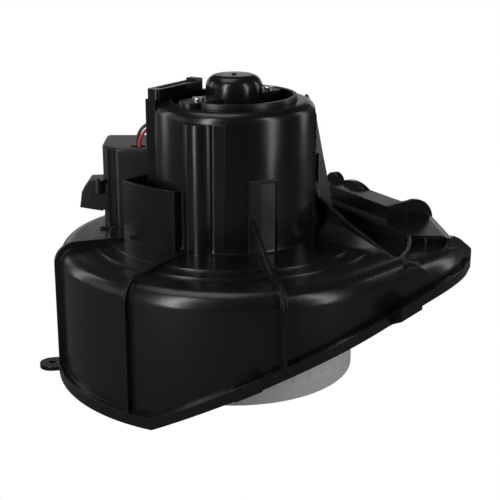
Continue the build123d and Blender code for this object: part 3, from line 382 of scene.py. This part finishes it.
def lamination(outer, inner, slots, thickness):
    """One sheet of the armature's core, with its winding slots."""
    mouth_half, slot_half = 0.0011, 0.0024
    shoe, slot_root, arc_steps = 0.0042, 0.0135, 6
    ring = []
    tooth = 2 * math.pi / slots
    mouth = mouth_half / outer
    rim = outer * math.cos(mouth)
    neck = outer - shoe
    for k in range(slots):
        a = tooth * k
        corners = [(rim, -mouth_half), (neck, -mouth_half), (neck, -slot_half), (slot_root, -slot_half),
                   (slot_root, slot_half), (neck, slot_half), (neck, mouth_half), (rim, mouth_half)]
        ring += [turned(a, radius, offset) for radius, offset in corners]
        arc = [mouth + (tooth - 2 * mouth) * i / arc_steps for i in range(1, arc_steps)]
        ring += [(outer * math.cos(a + t), outer * math.sin(a + t)) for t in arc]
    hole = [(inner * math.cos(2 * math.pi * i / len(ring)), inner * math.sin(2 * math.pi * i / len(ring)))
            for i in range(len(ring))]
    count = len(ring)
    verts = [(x, y, z) for z in (0.0, thickness) for line in (ring, hole) for x, y in line]
    faces = []
    for i in range(count):
        j = (i + 1) % count
        faces += [(i, j, 2 * count + j, 2 * count + i), (count + i, count + j, 3 * count + j, 3 * count + i),
                  (i, j, count + j, count + i), (2 * count + i, 2 * count + j, 3 * count + j, 3 * count + i)]
    return mesh_of("lamination", verts, faces, 30.0)


def tube_along(name, points, radius):
    """A smooth round lead through a route's points."""
    curve = bpy.data.curves.new(name, "CURVE")
    curve.dimensions = "3D"
    curve.bevel_depth = radius
    curve.bevel_resolution = 5
    curve.use_fill_caps = True
    line = curve.splines.new("NURBS")
    line.points.add(len(points) - 1)
    for point, place in zip(line.points, points):
        point.co = (place.x, place.y, place.z, 1.0)
    line.order_u = 3
    line.use_endpoint_u = True
    line.resolution_u = 12
    return curve


# What repeats

class Copies(Nodes):
    """A node tree that sets copies of one item, with named inputs."""

    def __init__(self, name, inputs):
        self.group = bpy.data.node_groups.new(name, "GeometryNodeTree")
        self.tree = self.group
        face = self.group.interface
        face.new_socket(name="Geometry", in_out="OUTPUT", socket_type="NodeSocketGeometry")
        self.labels = {}
        for label, kind in inputs:
            socket = face.new_socket(name=label, in_out="INPUT", socket_type="NodeSocket" + kind)
            self.labels[label] = socket.identifier
        self.source = self.group.nodes.new("NodeGroupInput")

    def given(self, label):
        return Link(self, self.source.outputs[label])

    def end(self, points, turn):
        item = self.node("GeometryNodeObjectInfo", {}, Object=self.given("Item"), out="Geometry")
        copies = self.node("GeometryNodeInstanceOnPoints", {}, Points=points, Instance=item, Rotation=turn)
        solid = self.node("GeometryNodeRealizeInstances", {}, copies)
        coloured = self.node("GeometryNodeSetMaterial", {}, Geometry=solid, Material=self.given("Finish"))
        out = self.group.nodes.new("NodeGroupOutput")
        self.group.links.new(coloured.socket, out.inputs["Geometry"])

    def jitter(self):
        """A small random angle for each copy, from a fixed seed."""
        made = self.group.nodes.new("FunctionNodeRandomValue")
        made.data_type = "FLOAT"
        made.inputs[2].default_value = -1.0
        made.inputs[3].default_value = 1.0
        self.group.links.new(self.given("Seed").socket, made.inputs["Seed"])
        return Link(self, made.outputs[1]) * self.given("Looseness")


def ring_tree():
    """Copies turned round the Z axis."""
    tree = Copies("copies_in_a_ring", [("Item", "Object"), ("Finish", "Material"), ("Count", "Int"),
                                       ("Start", "Float"), ("Looseness", "Float"), ("Seed", "Int")])
    line = tree.node("GeometryNodeMeshLine", {}, Count=tree.given("Count"), Offset=(0.0, 0.0, 0.0))
    points = tree.node("GeometryNodeMeshToPoints", {}, Mesh=line)
    step = tree.node("GeometryNodeInputIndex", {}) * (2 * math.pi) / tree.given("Count")
    turn = tree.node("ShaderNodeCombineXYZ", {}, Z=step + tree.given("Start") + tree.jitter())
    tree.end(points, turn)
    return tree


def row_tree():
    """Copies in a straight row, each turned by a little about the Z axis."""
    tree = Copies("copies_in_a_row", [("Item", "Object"), ("Finish", "Material"), ("Count", "Int"),
                                      ("First", "Vector"), ("Step", "Vector"), ("Looseness", "Float"),
                                      ("Seed", "Int")])
    line = tree.node("GeometryNodeMeshLine", {}, Count=tree.given("Count"),
                     Start_Location=tree.given("First"), Offset=tree.given("Step"))
    points = tree.node("GeometryNodeMeshToPoints", {}, Mesh=line)
    turn = tree.node("ShaderNodeCombineXYZ", {}, Z=tree.jitter())
    tree.end(points, turn)
    return tree


def grown(tree, item_mesh, material, **inputs):
    """The mesh that a tree makes from one item, with its named inputs set."""
    scene = bpy.context.scene
    item = bpy.data.objects.new("item", item_mesh)
    carrier = bpy.data.objects.new("carrier", bpy.data.meshes.new("carrier"))
    scene.collection.objects.link(item)
    scene.collection.objects.link(carrier)
    modifier = carrier.modifiers.new("copies", "NODES")
    modifier.node_group = tree.group
    values = dict(inputs, Item=item, Finish=material)
    for label, value in values.items():
        modifier[tree.labels[label]] = value
    carrier.update_tag()
    bpy.context.view_layer.update()
    evaluated = carrier.evaluated_get(bpy.context.evaluated_depsgraph_get())
    mesh = bpy.data.meshes.new_from_object(evaluated)
    carrier.modifiers.remove(modifier)
    bpy.data.objects.remove(carrier)
    bpy.data.objects.remove(item)
    if len(mesh.polygons) < 2 * len(item_mesh.polygons):
        raise RuntimeError("the copies of " + item_mesh.name + " were not made")
    return mesh


def tree_of(name):
    """A copying tree, made once."""
    if name not in TREES:
        TREES[name] = {"ring": ring_tree, "row": row_tree}[name]()
    return TREES[name]


TREES = {}


# Settings

class BlowerCameraSettings(bpy.types.PropertyGroup):
    distance: FloatProperty(name="Distance", description="From the motor's axis, along the view",
                            default=0.6403, unit="LENGTH")
    height: FloatProperty(name="Height", description="Above the wheel's inlet edge",
                          default=0.2710, unit="LENGTH")
    pitch: FloatProperty(name="Pitch", description="Downward tilt",
                         default=math.radians(17.64), subtype="ANGLE")
    yaw: FloatProperty(name="Yaw", description="Turn to the right",
                       default=math.radians(0.82), subtype="ANGLE")
    roll: FloatProperty(name="Roll", description="Turn about the view",
                        default=math.radians(0.12), subtype="ANGLE")
    lens: FloatProperty(name="Lens", description="Focal length in millimetres at a 36 mm sensor",
                        default=82.18, min=10.0)


class BlowerFinishSettings(bpy.types.PropertyGroup):
    cover: FloatVectorProperty(name="Cover", description="Colour of the cover's plastic",
                               default=(0.0052, 0.0052, 0.0056), size=3, subtype="COLOR")
    cap: FloatVectorProperty(name="Cap", description="Colour of the motor's end cap",
                             default=(0.0065, 0.0065, 0.007), size=3, subtype="COLOR")
    wheel: FloatVectorProperty(name="Wheel", description="Colour of the air wheel",
                               default=(0.90, 0.90, 0.84), size=3, subtype="COLOR")
    red: FloatVectorProperty(name="Red lead", description="Colour of the red lead",
                             default=(0.20, 0.007, 0.006), size=3, subtype="COLOR")
    gloss: FloatProperty(name="Roughness", description="Roughness of the cover's plastic",
                         default=0.27, min=0.0, max=1.0)
    edge: FloatProperty(name="Edge radius", description="Softness of the moulded edges",
                        default=0.0007, unit="LENGTH")


class BlowerWheelSettings(bpy.types.PropertyGroup):
    radius: FloatProperty(name="Radius", description="Outer radius of the wheel",
                          default=0.070, unit="LENGTH")
    height: FloatProperty(name="Height", description="From the inlet ring to the back plate",
                          default=0.062, unit="LENGTH")
    blades: IntProperty(name="Blades", description="Number of blades", default=41, min=3)
    blade_depth: FloatProperty(name="Blade depth", description="Along the radius",
                               default=0.011, unit="LENGTH")
    blade_thickness: FloatProperty(name="Blade thickness", description="Through the middle",
                                   default=0.0011, unit="LENGTH")
    blade_sweep: FloatProperty(name="Blade sweep", description="Turn from root to tip",
                               default=math.radians(9), subtype="ANGLE")
    ring_height: FloatProperty(name="Ring height", description="Of the inlet ring",
                               default=0.018, unit="LENGTH")
    step_height: FloatProperty(name="Step height", description="Of the ring's wide foot",
                               default=0.009, unit="LENGTH")
    ring_step: FloatProperty(name="Ring step", description="Width of the step",
                             default=0.0008, unit="LENGTH")
    dish: FloatProperty(name="Dish", description="Drop of the back plate to the hub",
                        default=0.015, unit="LENGTH")
    hub: FloatProperty(name="Hub radius", description="Outer radius of the hub",
                       default=0.009, unit="LENGTH")


class BlowerArmatureSettings(bpy.types.PropertyGroup):
    core_radius: FloatProperty(name="Core radius", description="Of the laminations",
                               default=0.0296, unit="LENGTH")
    core_low: FloatProperty(name="Core height", description="Of the lowest lamination",
                            default=0.095, unit="LENGTH")
    core_height: FloatProperty(name="Stack", description="Height of the stack", default=0.034, unit="LENGTH")
    shaft_radius: FloatProperty(name="Shaft radius", description="Of the hole for the shaft",
                                default=0.004, unit="LENGTH")
    slots: IntProperty(name="Slots", description="Number of winding slots", default=12, min=3)
    sheets: IntProperty(name="Sheets", description="Number of laminations", default=40, min=2)
    sheet: FloatProperty(name="Sheet", description="Thickness of one lamination",
                         default=0.00079, unit="LENGTH")


class BlowerBrushSettings(bpy.types.PropertyGroup):
    wire: FloatProperty(name="Wire", description="Diameter of the chokes' wire",
                        default=0.0008, unit="LENGTH")
    turns: IntProperty(name="Turns", description="Turns of each choke", default=10, min=2)
    turn_radius: FloatProperty(name="Turn radius", description="To the middle of the wire",
                               default=0.0027, unit="LENGTH")
    choke_length: FloatProperty(name="Choke length", description="Of the wound stretch",
                                default=0.009, unit="LENGTH")
    choke_z: FloatProperty(name="Choke height", description="Of the chokes' axis",
                           default=0.1439, unit="LENGTH")
    choke_r: FloatProperty(name="Choke place", description="From the motor's axis",
                           default=0.023, unit="LENGTH")
    choke_angle: FloatProperty(name="Choke angle", description="Of the first choke round the axis",
                               default=math.radians(95), subtype="ANGLE")
    spring_seat: FloatProperty(name="Spring seat", description="From the motor's axis",
                               default=0.0302, unit="LENGTH")
    spring_height: FloatProperty(name="Spring height", description="Of the springs' axis",
                                 default=0.144, unit="LENGTH")
    spring_left: FloatProperty(name="Spring left", description="Share of its length when pressed",
                               default=0.49, min=0.1, max=1.0)


class BlowerLeadSettings(bpy.types.PropertyGroup):
    start: FloatVectorProperty(name="Start", description="Where the black lead leaves the cup",
                               default=(-0.039, 0.0175, 0.141), size=3, subtype="TRANSLATION")
    red_shift: FloatVectorProperty(name="Red shift", description="From the black lead to the red one",
                                   default=(0.0013, -0.0024, -0.0018), size=3, subtype="TRANSLATION")
    run: FloatProperty(name="Run", description="Level stretch from the cup", default=0.0125, unit="LENGTH")
    drop: FloatProperty(name="Drop", description="Slanting stretch to the case",
                        default=0.014, unit="LENGTH")
    end: FloatProperty(name="End", description="Last stretch into the case", default=0.008, unit="LENGTH")
    turn: FloatProperty(name="Turn", description="Slant of the stretch to the case",
                        default=math.radians(60), subtype="ANGLE")
    diameter: FloatProperty(name="Diameter", description="Over the insulation", default=0.002, unit="LENGTH")


def colour_of(value):
    """A colour setting with full alpha."""
    return (value[0], value[1], value[2], 1.0)


FINISH_OF_SLOT = {
    "cover": "cover_plastic", "cap": "cap_plastic", "dome": "dome_paint", "case": "case_plastic",
    "wheel": "wheel_plastic", "steel": "can_steel", "zinc": "screw_zinc", "laminations": "core_laminations",
    "ferrite": "magnet_ferrite", "copper": "winding_copper", "brass": "terminal_brass",
    "bronze": "bearing_bronze", "graphite": "brush_graphite", "phenolic": "phenolic_board",
    "rubber": "damper_rubber", "aluminium": "sink_aluminium", "board": "circuit_board", "chip": "chip_epoxy",
    "red_insulation": "red_insulation", "black_insulation": "black_insulation",
}


def make_finishes():
    """Makes every material, once."""
    s = bpy.context.scene.blower_finish
    if bpy.data.materials.get("cover_plastic") is None:
        moulded("cover_plastic", colour=colour_of(s.cover), gloss=s.gloss, grain=0.12, edge=s.edge)
        moulded("cap_plastic", colour=colour_of(s.cap), gloss=s.gloss + 0.08, grain=0.2, edge=0.0005)
        moulded("dome_paint", colour=colour_of(s.cap), gloss=s.gloss - 0.02, grain=0.05, edge=0.0004)
        moulded("case_plastic", colour=colour_of(s.cap), gloss=s.gloss + 0.1, grain=0.25, edge=0.0006)
        moulded("wheel_plastic", colour=colour_of(s.wheel), gloss=0.42, grain=0.15, edge=0.0005)
        moulded("phenolic_board", colour=(0.20, 0.10, 0.035, 1.0), gloss=0.5, grain=0.2, edge=0.0003)
        moulded("circuit_board", colour=(0.01, 0.09, 0.03, 1.0), gloss=0.4, grain=0.1, edge=0.0002)
        moulded("chip_epoxy", colour=(0.012, 0.012, 0.012, 1.0), gloss=0.5, grain=0.2, edge=0.0002)
        moulded("red_insulation", colour=colour_of(s.red), gloss=0.35, grain=0.1, edge=0.0001)
        moulded("black_insulation", colour=(0.015, 0.015, 0.015, 1.0), gloss=0.38, grain=0.1, edge=0.0001)
        soft_rubber("damper_rubber", (0.012, 0.012, 0.012, 1.0))
        metal("can_steel", colour=(0.52, 0.53, 0.54, 1.0), gloss=0.32, brush=0.2)
        metal("screw_zinc", colour=(0.72, 0.72, 0.70, 1.0), gloss=0.22, brush=0.05)
        metal("core_laminations", colour=(0.25, 0.25, 0.26, 1.0), gloss=0.5, brush=0.5)
        metal("magnet_ferrite", colour=(0.06, 0.06, 0.065, 1.0), gloss=0.6, brush=0.3)
        metal("winding_copper", colour=(0.72, 0.30, 0.15, 1.0), gloss=0.35, brush=0.3)
        metal("terminal_brass", colour=(0.75, 0.55, 0.22, 1.0), gloss=0.3, brush=0.1)
        metal("bearing_bronze", colour=(0.48, 0.31, 0.14, 1.0), gloss=0.45, brush=0.3)
        metal("brush_graphite", colour=(0.045, 0.045, 0.05, 1.0), gloss=0.5, brush=0.3)
        metal("sink_aluminium", colour=(0.72, 0.73, 0.74, 1.0), gloss=0.38, brush=0.3)


def finish_of(slot):
    """The material of a slot."""
    make_finishes()
    return bpy.data.materials[FINISH_OF_SLOT[slot]]


def make_floor(scene):
    """A pale paper floor, plain white to the camera."""
    half, gap, paper_grey = 6.0, 0.0002, 0.20
    mesh = bpy.data.meshes.new("floor")
    bm = bmesh.new()
    bmesh.ops.create_grid(bm, x_segments=1, y_segments=1, size=half)
    bmesh.ops.translate(bm, verts=bm.verts, vec=(0, 0, CAD_BOX[0][2] - gap))
    bm.to_mesh(mesh)
    bm.free()
    floor = bpy.data.objects.new("floor", mesh)
    scene.collection.objects.link(floor)
    f = Finish("floor_paper")
    seen = f.node("ShaderNodeLightPath", {}, out="Is Camera Ray")
    paper = f.node("ShaderNodeBsdfDiffuse", {}, Color=grey(paper_grey))
    glow = f.node("ShaderNodeEmission", {}, Color=grey(1.0), Strength=1.0)
    mixed = f.node("ShaderNodeMixShader", {}, seen, paper, glow)
    f.tree.links.new(mixed.socket, f.output.inputs["Surface"])
    floor.data.materials.append(f.material)


def make_world(scene):
    """A dim room that is white to the camera."""
    room_light = 0.04
    world = bpy.data.worlds.new("studio")
    scene.world = world
    world.use_nodes = True
    tree = world.node_tree
    tree.nodes.clear()
    out = tree.nodes.new("ShaderNodeOutputWorld")
    path = tree.nodes.new("ShaderNodeLightPath")
    back = tree.nodes.new("ShaderNodeBackground")
    back.inputs["Color"].default_value = grey(1.0)
    back.inputs["Strength"].default_value = 1.0
    room = tree.nodes.new("ShaderNodeBackground")
    room.inputs["Color"].default_value = grey(1.0)
    room.inputs["Strength"].default_value = room_light
    mix = tree.nodes.new("ShaderNodeMixShader")
    tree.links.new(path.outputs["Is Camera Ray"], mix.inputs[0])
    tree.links.new(room.outputs[0], mix.inputs[1])
    tree.links.new(back.outputs[0], mix.inputs[2])
    tree.links.new(mix.outputs[0], out.inputs["Surface"])


def lamp(scene, name, place, aim_z, wide, high, power):
    """A soft lamp that points at a height on the motor's axis."""
    data = bpy.data.lights.new(name, "AREA")
    data.shape = "RECTANGLE"
    data.size = wide
    data.size_y = high
    data.energy = power
    obj = bpy.data.objects.new(name, data)
    obj.visible_camera = False
    scene.collection.objects.link(obj)
    direction = Vector((0, 0, aim_z)) - Vector(place)
    turn = direction.to_track_quat("-Z", "Y").to_matrix().to_4x4()
    obj.matrix_world = Matrix.Translation(place) @ turn


def make_lamps(scene):
    """Strips beside the object, and wide cards above, behind and on its left."""
    lamp(scene, "left_strip", place=(-0.25, -0.34, 0.25), aim_z=0.12, wide=0.06, high=0.48, power=1.15)
    lamp(scene, "right_strip", place=(0.33, -0.265, 0.25), aim_z=0.12, wide=0.04, high=0.48, power=0.62)
    lamp(scene, "back_card", place=(-0.2, 1.5, 0.28), aim_z=0.1, wide=2.6, high=0.42, power=2.6)
    lamp(scene, "top_softbox", place=(-0.3, 0.1, 1.4), aim_z=0.05, wide=0.9, high=0.7, power=3.6)
    lamp(scene, "rear_left", place=(-0.56, 0.20, 0.24), aim_z=0.10, wide=0.08, high=0.46, power=0.45)
    lamp(scene, "rear_right", place=(0.58, 0.22, 0.24), aim_z=0.10, wide=0.08, high=0.46, power=0.4)
    lamp(scene, "left_card", place=(-0.9, -0.1, 0.3), aim_z=0.1, wide=0.5, high=0.5, power=0.5)


def make_camera(scene):
    """The camera at the photograph's angle."""
    s = scene.blower_camera
    data = bpy.data.cameras.new("photo_camera")
    data.lens = s.lens
    data.sensor_width = 36.0
    data.sensor_fit = "HORIZONTAL"
    camera = bpy.data.objects.new("photo_camera", data)
    scene.collection.objects.link(camera)
    turn = (Matrix.Rotation(-s.yaw, 4, "Z") @ Matrix.Rotation(math.radians(90) - s.pitch, 4, "X")
            @ Matrix.Rotation(s.roll, 4, "Z"))
    camera.matrix_world = Matrix.Translation((0, -s.distance, s.height)) @ turn
    scene.camera = camera


class SCENE_OT_blower_stage(bpy.types.Operator):
    """Makes the floor, the studio light, the world and the camera"""
    bl_idname = "scene.blower_stage"
    bl_label = "Studio stage"

    def execute(self, context):
        scene = context.scene
        scene.view_settings.view_transform = "Standard"
        make_floor(scene)
        make_world(scene)
        make_lamps(scene)
        make_camera(scene)
        return {"FINISHED"}


class Dressing:
    """Gives CAD pieces their finish, and shades the turned and moulded ones smoothly."""
    bl_options = {"REGISTER"}

    def copies(self, *nodes):
        """Smooth copies of the CAD nodes, each with its own finish."""
        for node in nodes:
            slot = slot_of(node)
            add_piece(node + "_skin", smooth_copy(node), BODY_OF[node], slot, finish_of(slot), node)

    def made(self, node, mesh):
        """A piece made here that stands for one CAD node."""
        slot = slot_of(node)
        return add_piece(node + "_skin", mesh, BODY_OF[node], slot, finish_of(slot), node)


class OBJECT_OT_blower_cover(Dressing, bpy.types.Operator):
    """Dresses the moulded scroll cover with the motor cup and the duct's tray"""
    bl_idname = "object.blower_cover"
    bl_label = "Scroll cover"

    def execute(self, context):
        self.copies("scroll_cover")
        return {"FINISHED"}


class OBJECT_OT_blower_wheel(Dressing, bpy.types.Operator):
    """Makes the air wheel with its ring of blades, and dresses its insert and clips"""
    bl_idname = "object.blower_wheel"
    bl_label = "Air wheel"

    def execute(self, context):
        s = context.scene.blower_wheel
        inner = s.radius - s.blade_depth
        sweep = s.blade_sweep
        inset = 0.0006
        p0 = Vector((inner, 0.0))
        p2 = Vector(((s.radius - inset) * math.cos(sweep), (s.radius - inset) * math.sin(sweep)))
        across = p2 - p0
        bow, blade_steps = 0.18, 10
        mid = (p0 + p2) * 0.5 + Vector((across.y, -across.x)) * bow
        bend = mid * 2 - (p0 + p2) * 0.5
        line = [tuple(p0 * (1 - t) ** 2 + bend * 2 * t * (1 - t) + p2 * t ** 2)
                for t in [k / blade_steps for k in range(blade_steps + 1)]]
        blade = ribbon("blade", line, s.blade_thickness / 2, inset, s.height - inset)
        blades = grown(tree_of("ring"), blade, finish_of("wheel"), Count=s.blades, Start=0.0, Looseness=0.0,
                       Seed=3)
        outer, step, wall = s.radius, s.ring_step, 0.002
        narrow = outer - step
        ring = [(outer, 0.0), (outer, s.step_height), (narrow, s.step_height), (narrow, s.ring_height),
                (narrow - wall, s.ring_height), (narrow - wall, 0.0)]
        top, t = s.height, 0.002
        low = top - s.dish
        bore, boss_above, boss_below = 0.0055, 0.004, 0.011
        face = [(outer, top), (inner - 0.002, top), (inner - 0.010, top - 0.001), (0.043, low + 0.0086),
                (0.028, low + 0.0026)]
        boss = [(s.hub, low), (s.hub, low + boss_above), (bore, low + boss_above), (bore, low - boss_below),
                (s.hub, low - boss_below), (s.hub, low - t)]
        disc = face + boss + [(r, z - t) for r, z in reversed(face)]
        web_start, web_end, web_half = 0.008, 0.024, 0.0009
        web_foot, web_top = low - 0.008, low - 0.0005
        web = mesh_of("web", *plate(web_start, web_end, -web_half, web_half, web_foot, web_top))
        webs = grown(tree_of("ring"), web, finish_of("wheel"), Count=6, Start=0.0, Looseness=0.0, Seed=5)
        hoop_outer, hoop_inner, hoop_top = 0.0249, 0.0231, low - 0.0004
        hoop = [(hoop_outer, web_foot), (hoop_outer, hoop_top), (hoop_inner, hoop_top),
                (hoop_inner, web_foot)]
        wheel = joined("wheel", lathe("ring", rounded(ring, 0.0004), 128),
                       lathe("disc", rounded(disc, 0.0006), 128), lathe("hoop", rounded(hoop, 0.0003), 96),
                       blades, webs)
        self.made("wheel", wheel)
        self.copies("wheel_insert", "hub_clip", "balance_clip")
        return {"FINISHED"}


class OBJECT_OT_blower_motor(Dressing, bpy.types.Operator):
    """Dresses the can, the end cap with its dome and screws, the magnets and the bearings"""
    bl_idname = "object.blower_motor"
    bl_label = "Motor can and cap"

    def execute(self, context):
        self.copies("motor_can", "magnets", "magnet_clips", "damper_sleeve", "end_cap", "bearing_dome",
                    "ear_screws", "front_bearing", "rear_bearing", "bearing_retainers")
        return {"FINISHED"}


class OBJECT_OT_blower_armature(Dressing, bpy.types.Operator):
    """Makes the stack of laminations, and dresses the shaft, windings and commutator's bars"""
    bl_idname = "object.blower_armature"
    bl_label = "Armature"

    def execute(self, context):
        s = context.scene.blower_armature
        sheet = lamination(s.core_radius, s.shaft_radius, s.slots, s.sheet)
        pitch = s.core_height / s.sheets
        core = grown(tree_of("row"), sheet, finish_of("laminations"), Count=s.sheets,
                     First=(0.0, 0.0, s.core_low), Step=(0.0, 0.0, pitch), Looseness=0.0006, Seed=11)
        self.made("armature_core", core)
        self.copies("shaft", "armature_windings", "commutator_core", "commutator_bars", "thrust_washers")
        return {"FINISHED"}


class OBJECT_OT_blower_brushes(Dressing, bpy.types.Operator):
    """Makes the chokes' copper turns, and dresses the brush plate, boxes, brushes and springs"""
    bl_idname = "object.blower_brushes"
    bl_label = "Brush gear"

    def execute(self, context):
        s = context.scene.blower_brushes
        rod_r, rod_half, rod_edge = 0.0023, 0.006, 0.0003
        section = [(0.0, -rod_half), (rod_r, -rod_half), (rod_r, rod_half), (0.0, rod_half)]
        rod = lathe("rod", rounded(section, rod_edge), 24)
        wire, wire_sides = s.wire / 2, 10
        turn = lathe("turn", [(s.turn_radius + wire * math.cos(a), wire * math.sin(a))
                              for a in [2 * math.pi * k / wire_sides for k in range(wire_sides)]], 32, 60.0)
        pitch = s.choke_length / s.turns
        turns = grown(tree_of("row"), turn, finish_of("copper"), Count=s.turns,
                      First=(0.0, 0.0, -s.choke_length / 2 + pitch / 2), Step=(0.0, 0.0, pitch),
                      Looseness=0.2, Seed=7)
        both = []
        for angle in (s.choke_angle, s.choke_angle + math.pi):
            place = (Matrix.Rotation(angle, 4, "Z") @ Matrix.Translation((s.choke_r, 0.0, s.choke_z))
                     @ Matrix.Rotation(math.radians(90), 4, "X"))
            for part in (rod, turns):
                mesh = part.copy()
                mesh.transform(place)
                both.append(mesh)
        self.made("suppression_chokes", joined("chokes", *both))
        self.copies("brush_plate", "brush_boxes", "brush_left", "brush_right")
        for side, sign in (("left", -1), ("right", 1)):
            node = "brush_spring_" + side
            spring = self.made(node, smooth_copy(node))
            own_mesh(spring)
        return {"FINISHED"}


class OBJECT_OT_blower_regulator(Dressing, bpy.types.Operator):
    """Dresses the regulator's case, board, transistor and heat sink, and the connector"""
    bl_idname = "object.blower_regulator"
    bl_label = "Regulator and connector"

    def execute(self, context):
        self.copies("regulator_case", "regulator_board", "regulator_screws", "regulator_transistor",
                    "heat_sink", "connector_shell", "connector_pins")
        return {"FINISHED"}


class OBJECT_OT_blower_leads(Dressing, bpy.types.Operator):
    """Makes the two motor leads along their routes, and dresses their grommet and terminals"""
    bl_idname = "object.blower_leads"
    bl_label = "Motor leads"

    def execute(self, context):
        s = context.scene.blower_leads
        for node, shift in (("black_lead", Vector()), ("red_lead", Vector(s.red_shift))):
            start = Vector(s.start) + shift
            across, down = math.cos(s.turn), math.sin(s.turn)
            a = start - Vector((s.run, 0, 0))
            b = a - Vector((s.drop * across, 0, s.drop * down))
            end = b + Vector((s.end * across, 0, -s.end * down))
            self.made(node, tube_along(node, [start, a, b, end], s.diameter / 2))
        self.copies("lead_grommet", "lead_terminals")
        return {"FINISHED"}


class VIEW3D_PT_blower(bpy.types.Panel):
    bl_label = "Heater blower motor"
    bl_space_type = "VIEW_3D"
    bl_region_type = "UI"
    bl_category = "Blower"

    def draw(self, context):
        for step in STEPS:
            self.layout.operator(step.bl_idname)


STEPS = (SCENE_OT_blower_stage, OBJECT_OT_blower_cover, OBJECT_OT_blower_wheel, OBJECT_OT_blower_motor,
         OBJECT_OT_blower_armature, OBJECT_OT_blower_brushes, OBJECT_OT_blower_regulator,
         OBJECT_OT_blower_leads)
SETTINGS = {
    "blower_camera": BlowerCameraSettings, "blower_finish": BlowerFinishSettings,
    "blower_wheel": BlowerWheelSettings, "blower_armature": BlowerArmatureSettings,
    "blower_brushes": BlowerBrushSettings, "blower_leads": BlowerLeadSettings,
}


def register():
    for cls in tuple(SETTINGS.values()) + STEPS + (VIEW3D_PT_blower,):
        bpy.utils.register_class(cls)
    for name, cls in SETTINGS.items():
        setattr(bpy.types.Scene, name, PointerProperty(type=cls))


def unregister():
    for name in SETTINGS:
        delattr(bpy.types.Scene, name)
    for cls in (VIEW3D_PT_blower,) + tuple(reversed(STEPS)) + tuple(SETTINGS.values()):
        bpy.utils.unregister_class(cls)


def main():
    register()
    bpy.ops.scene.blower_stage()
    bpy.ops.object.blower_cover()
    bpy.ops.object.blower_wheel()
    bpy.ops.object.blower_motor()
    bpy.ops.object.blower_armature()
    bpy.ops.object.blower_brushes()
    bpy.ops.object.blower_regulator()
    bpy.ops.object.blower_leads()


if __name__ == "__main__":
    main()
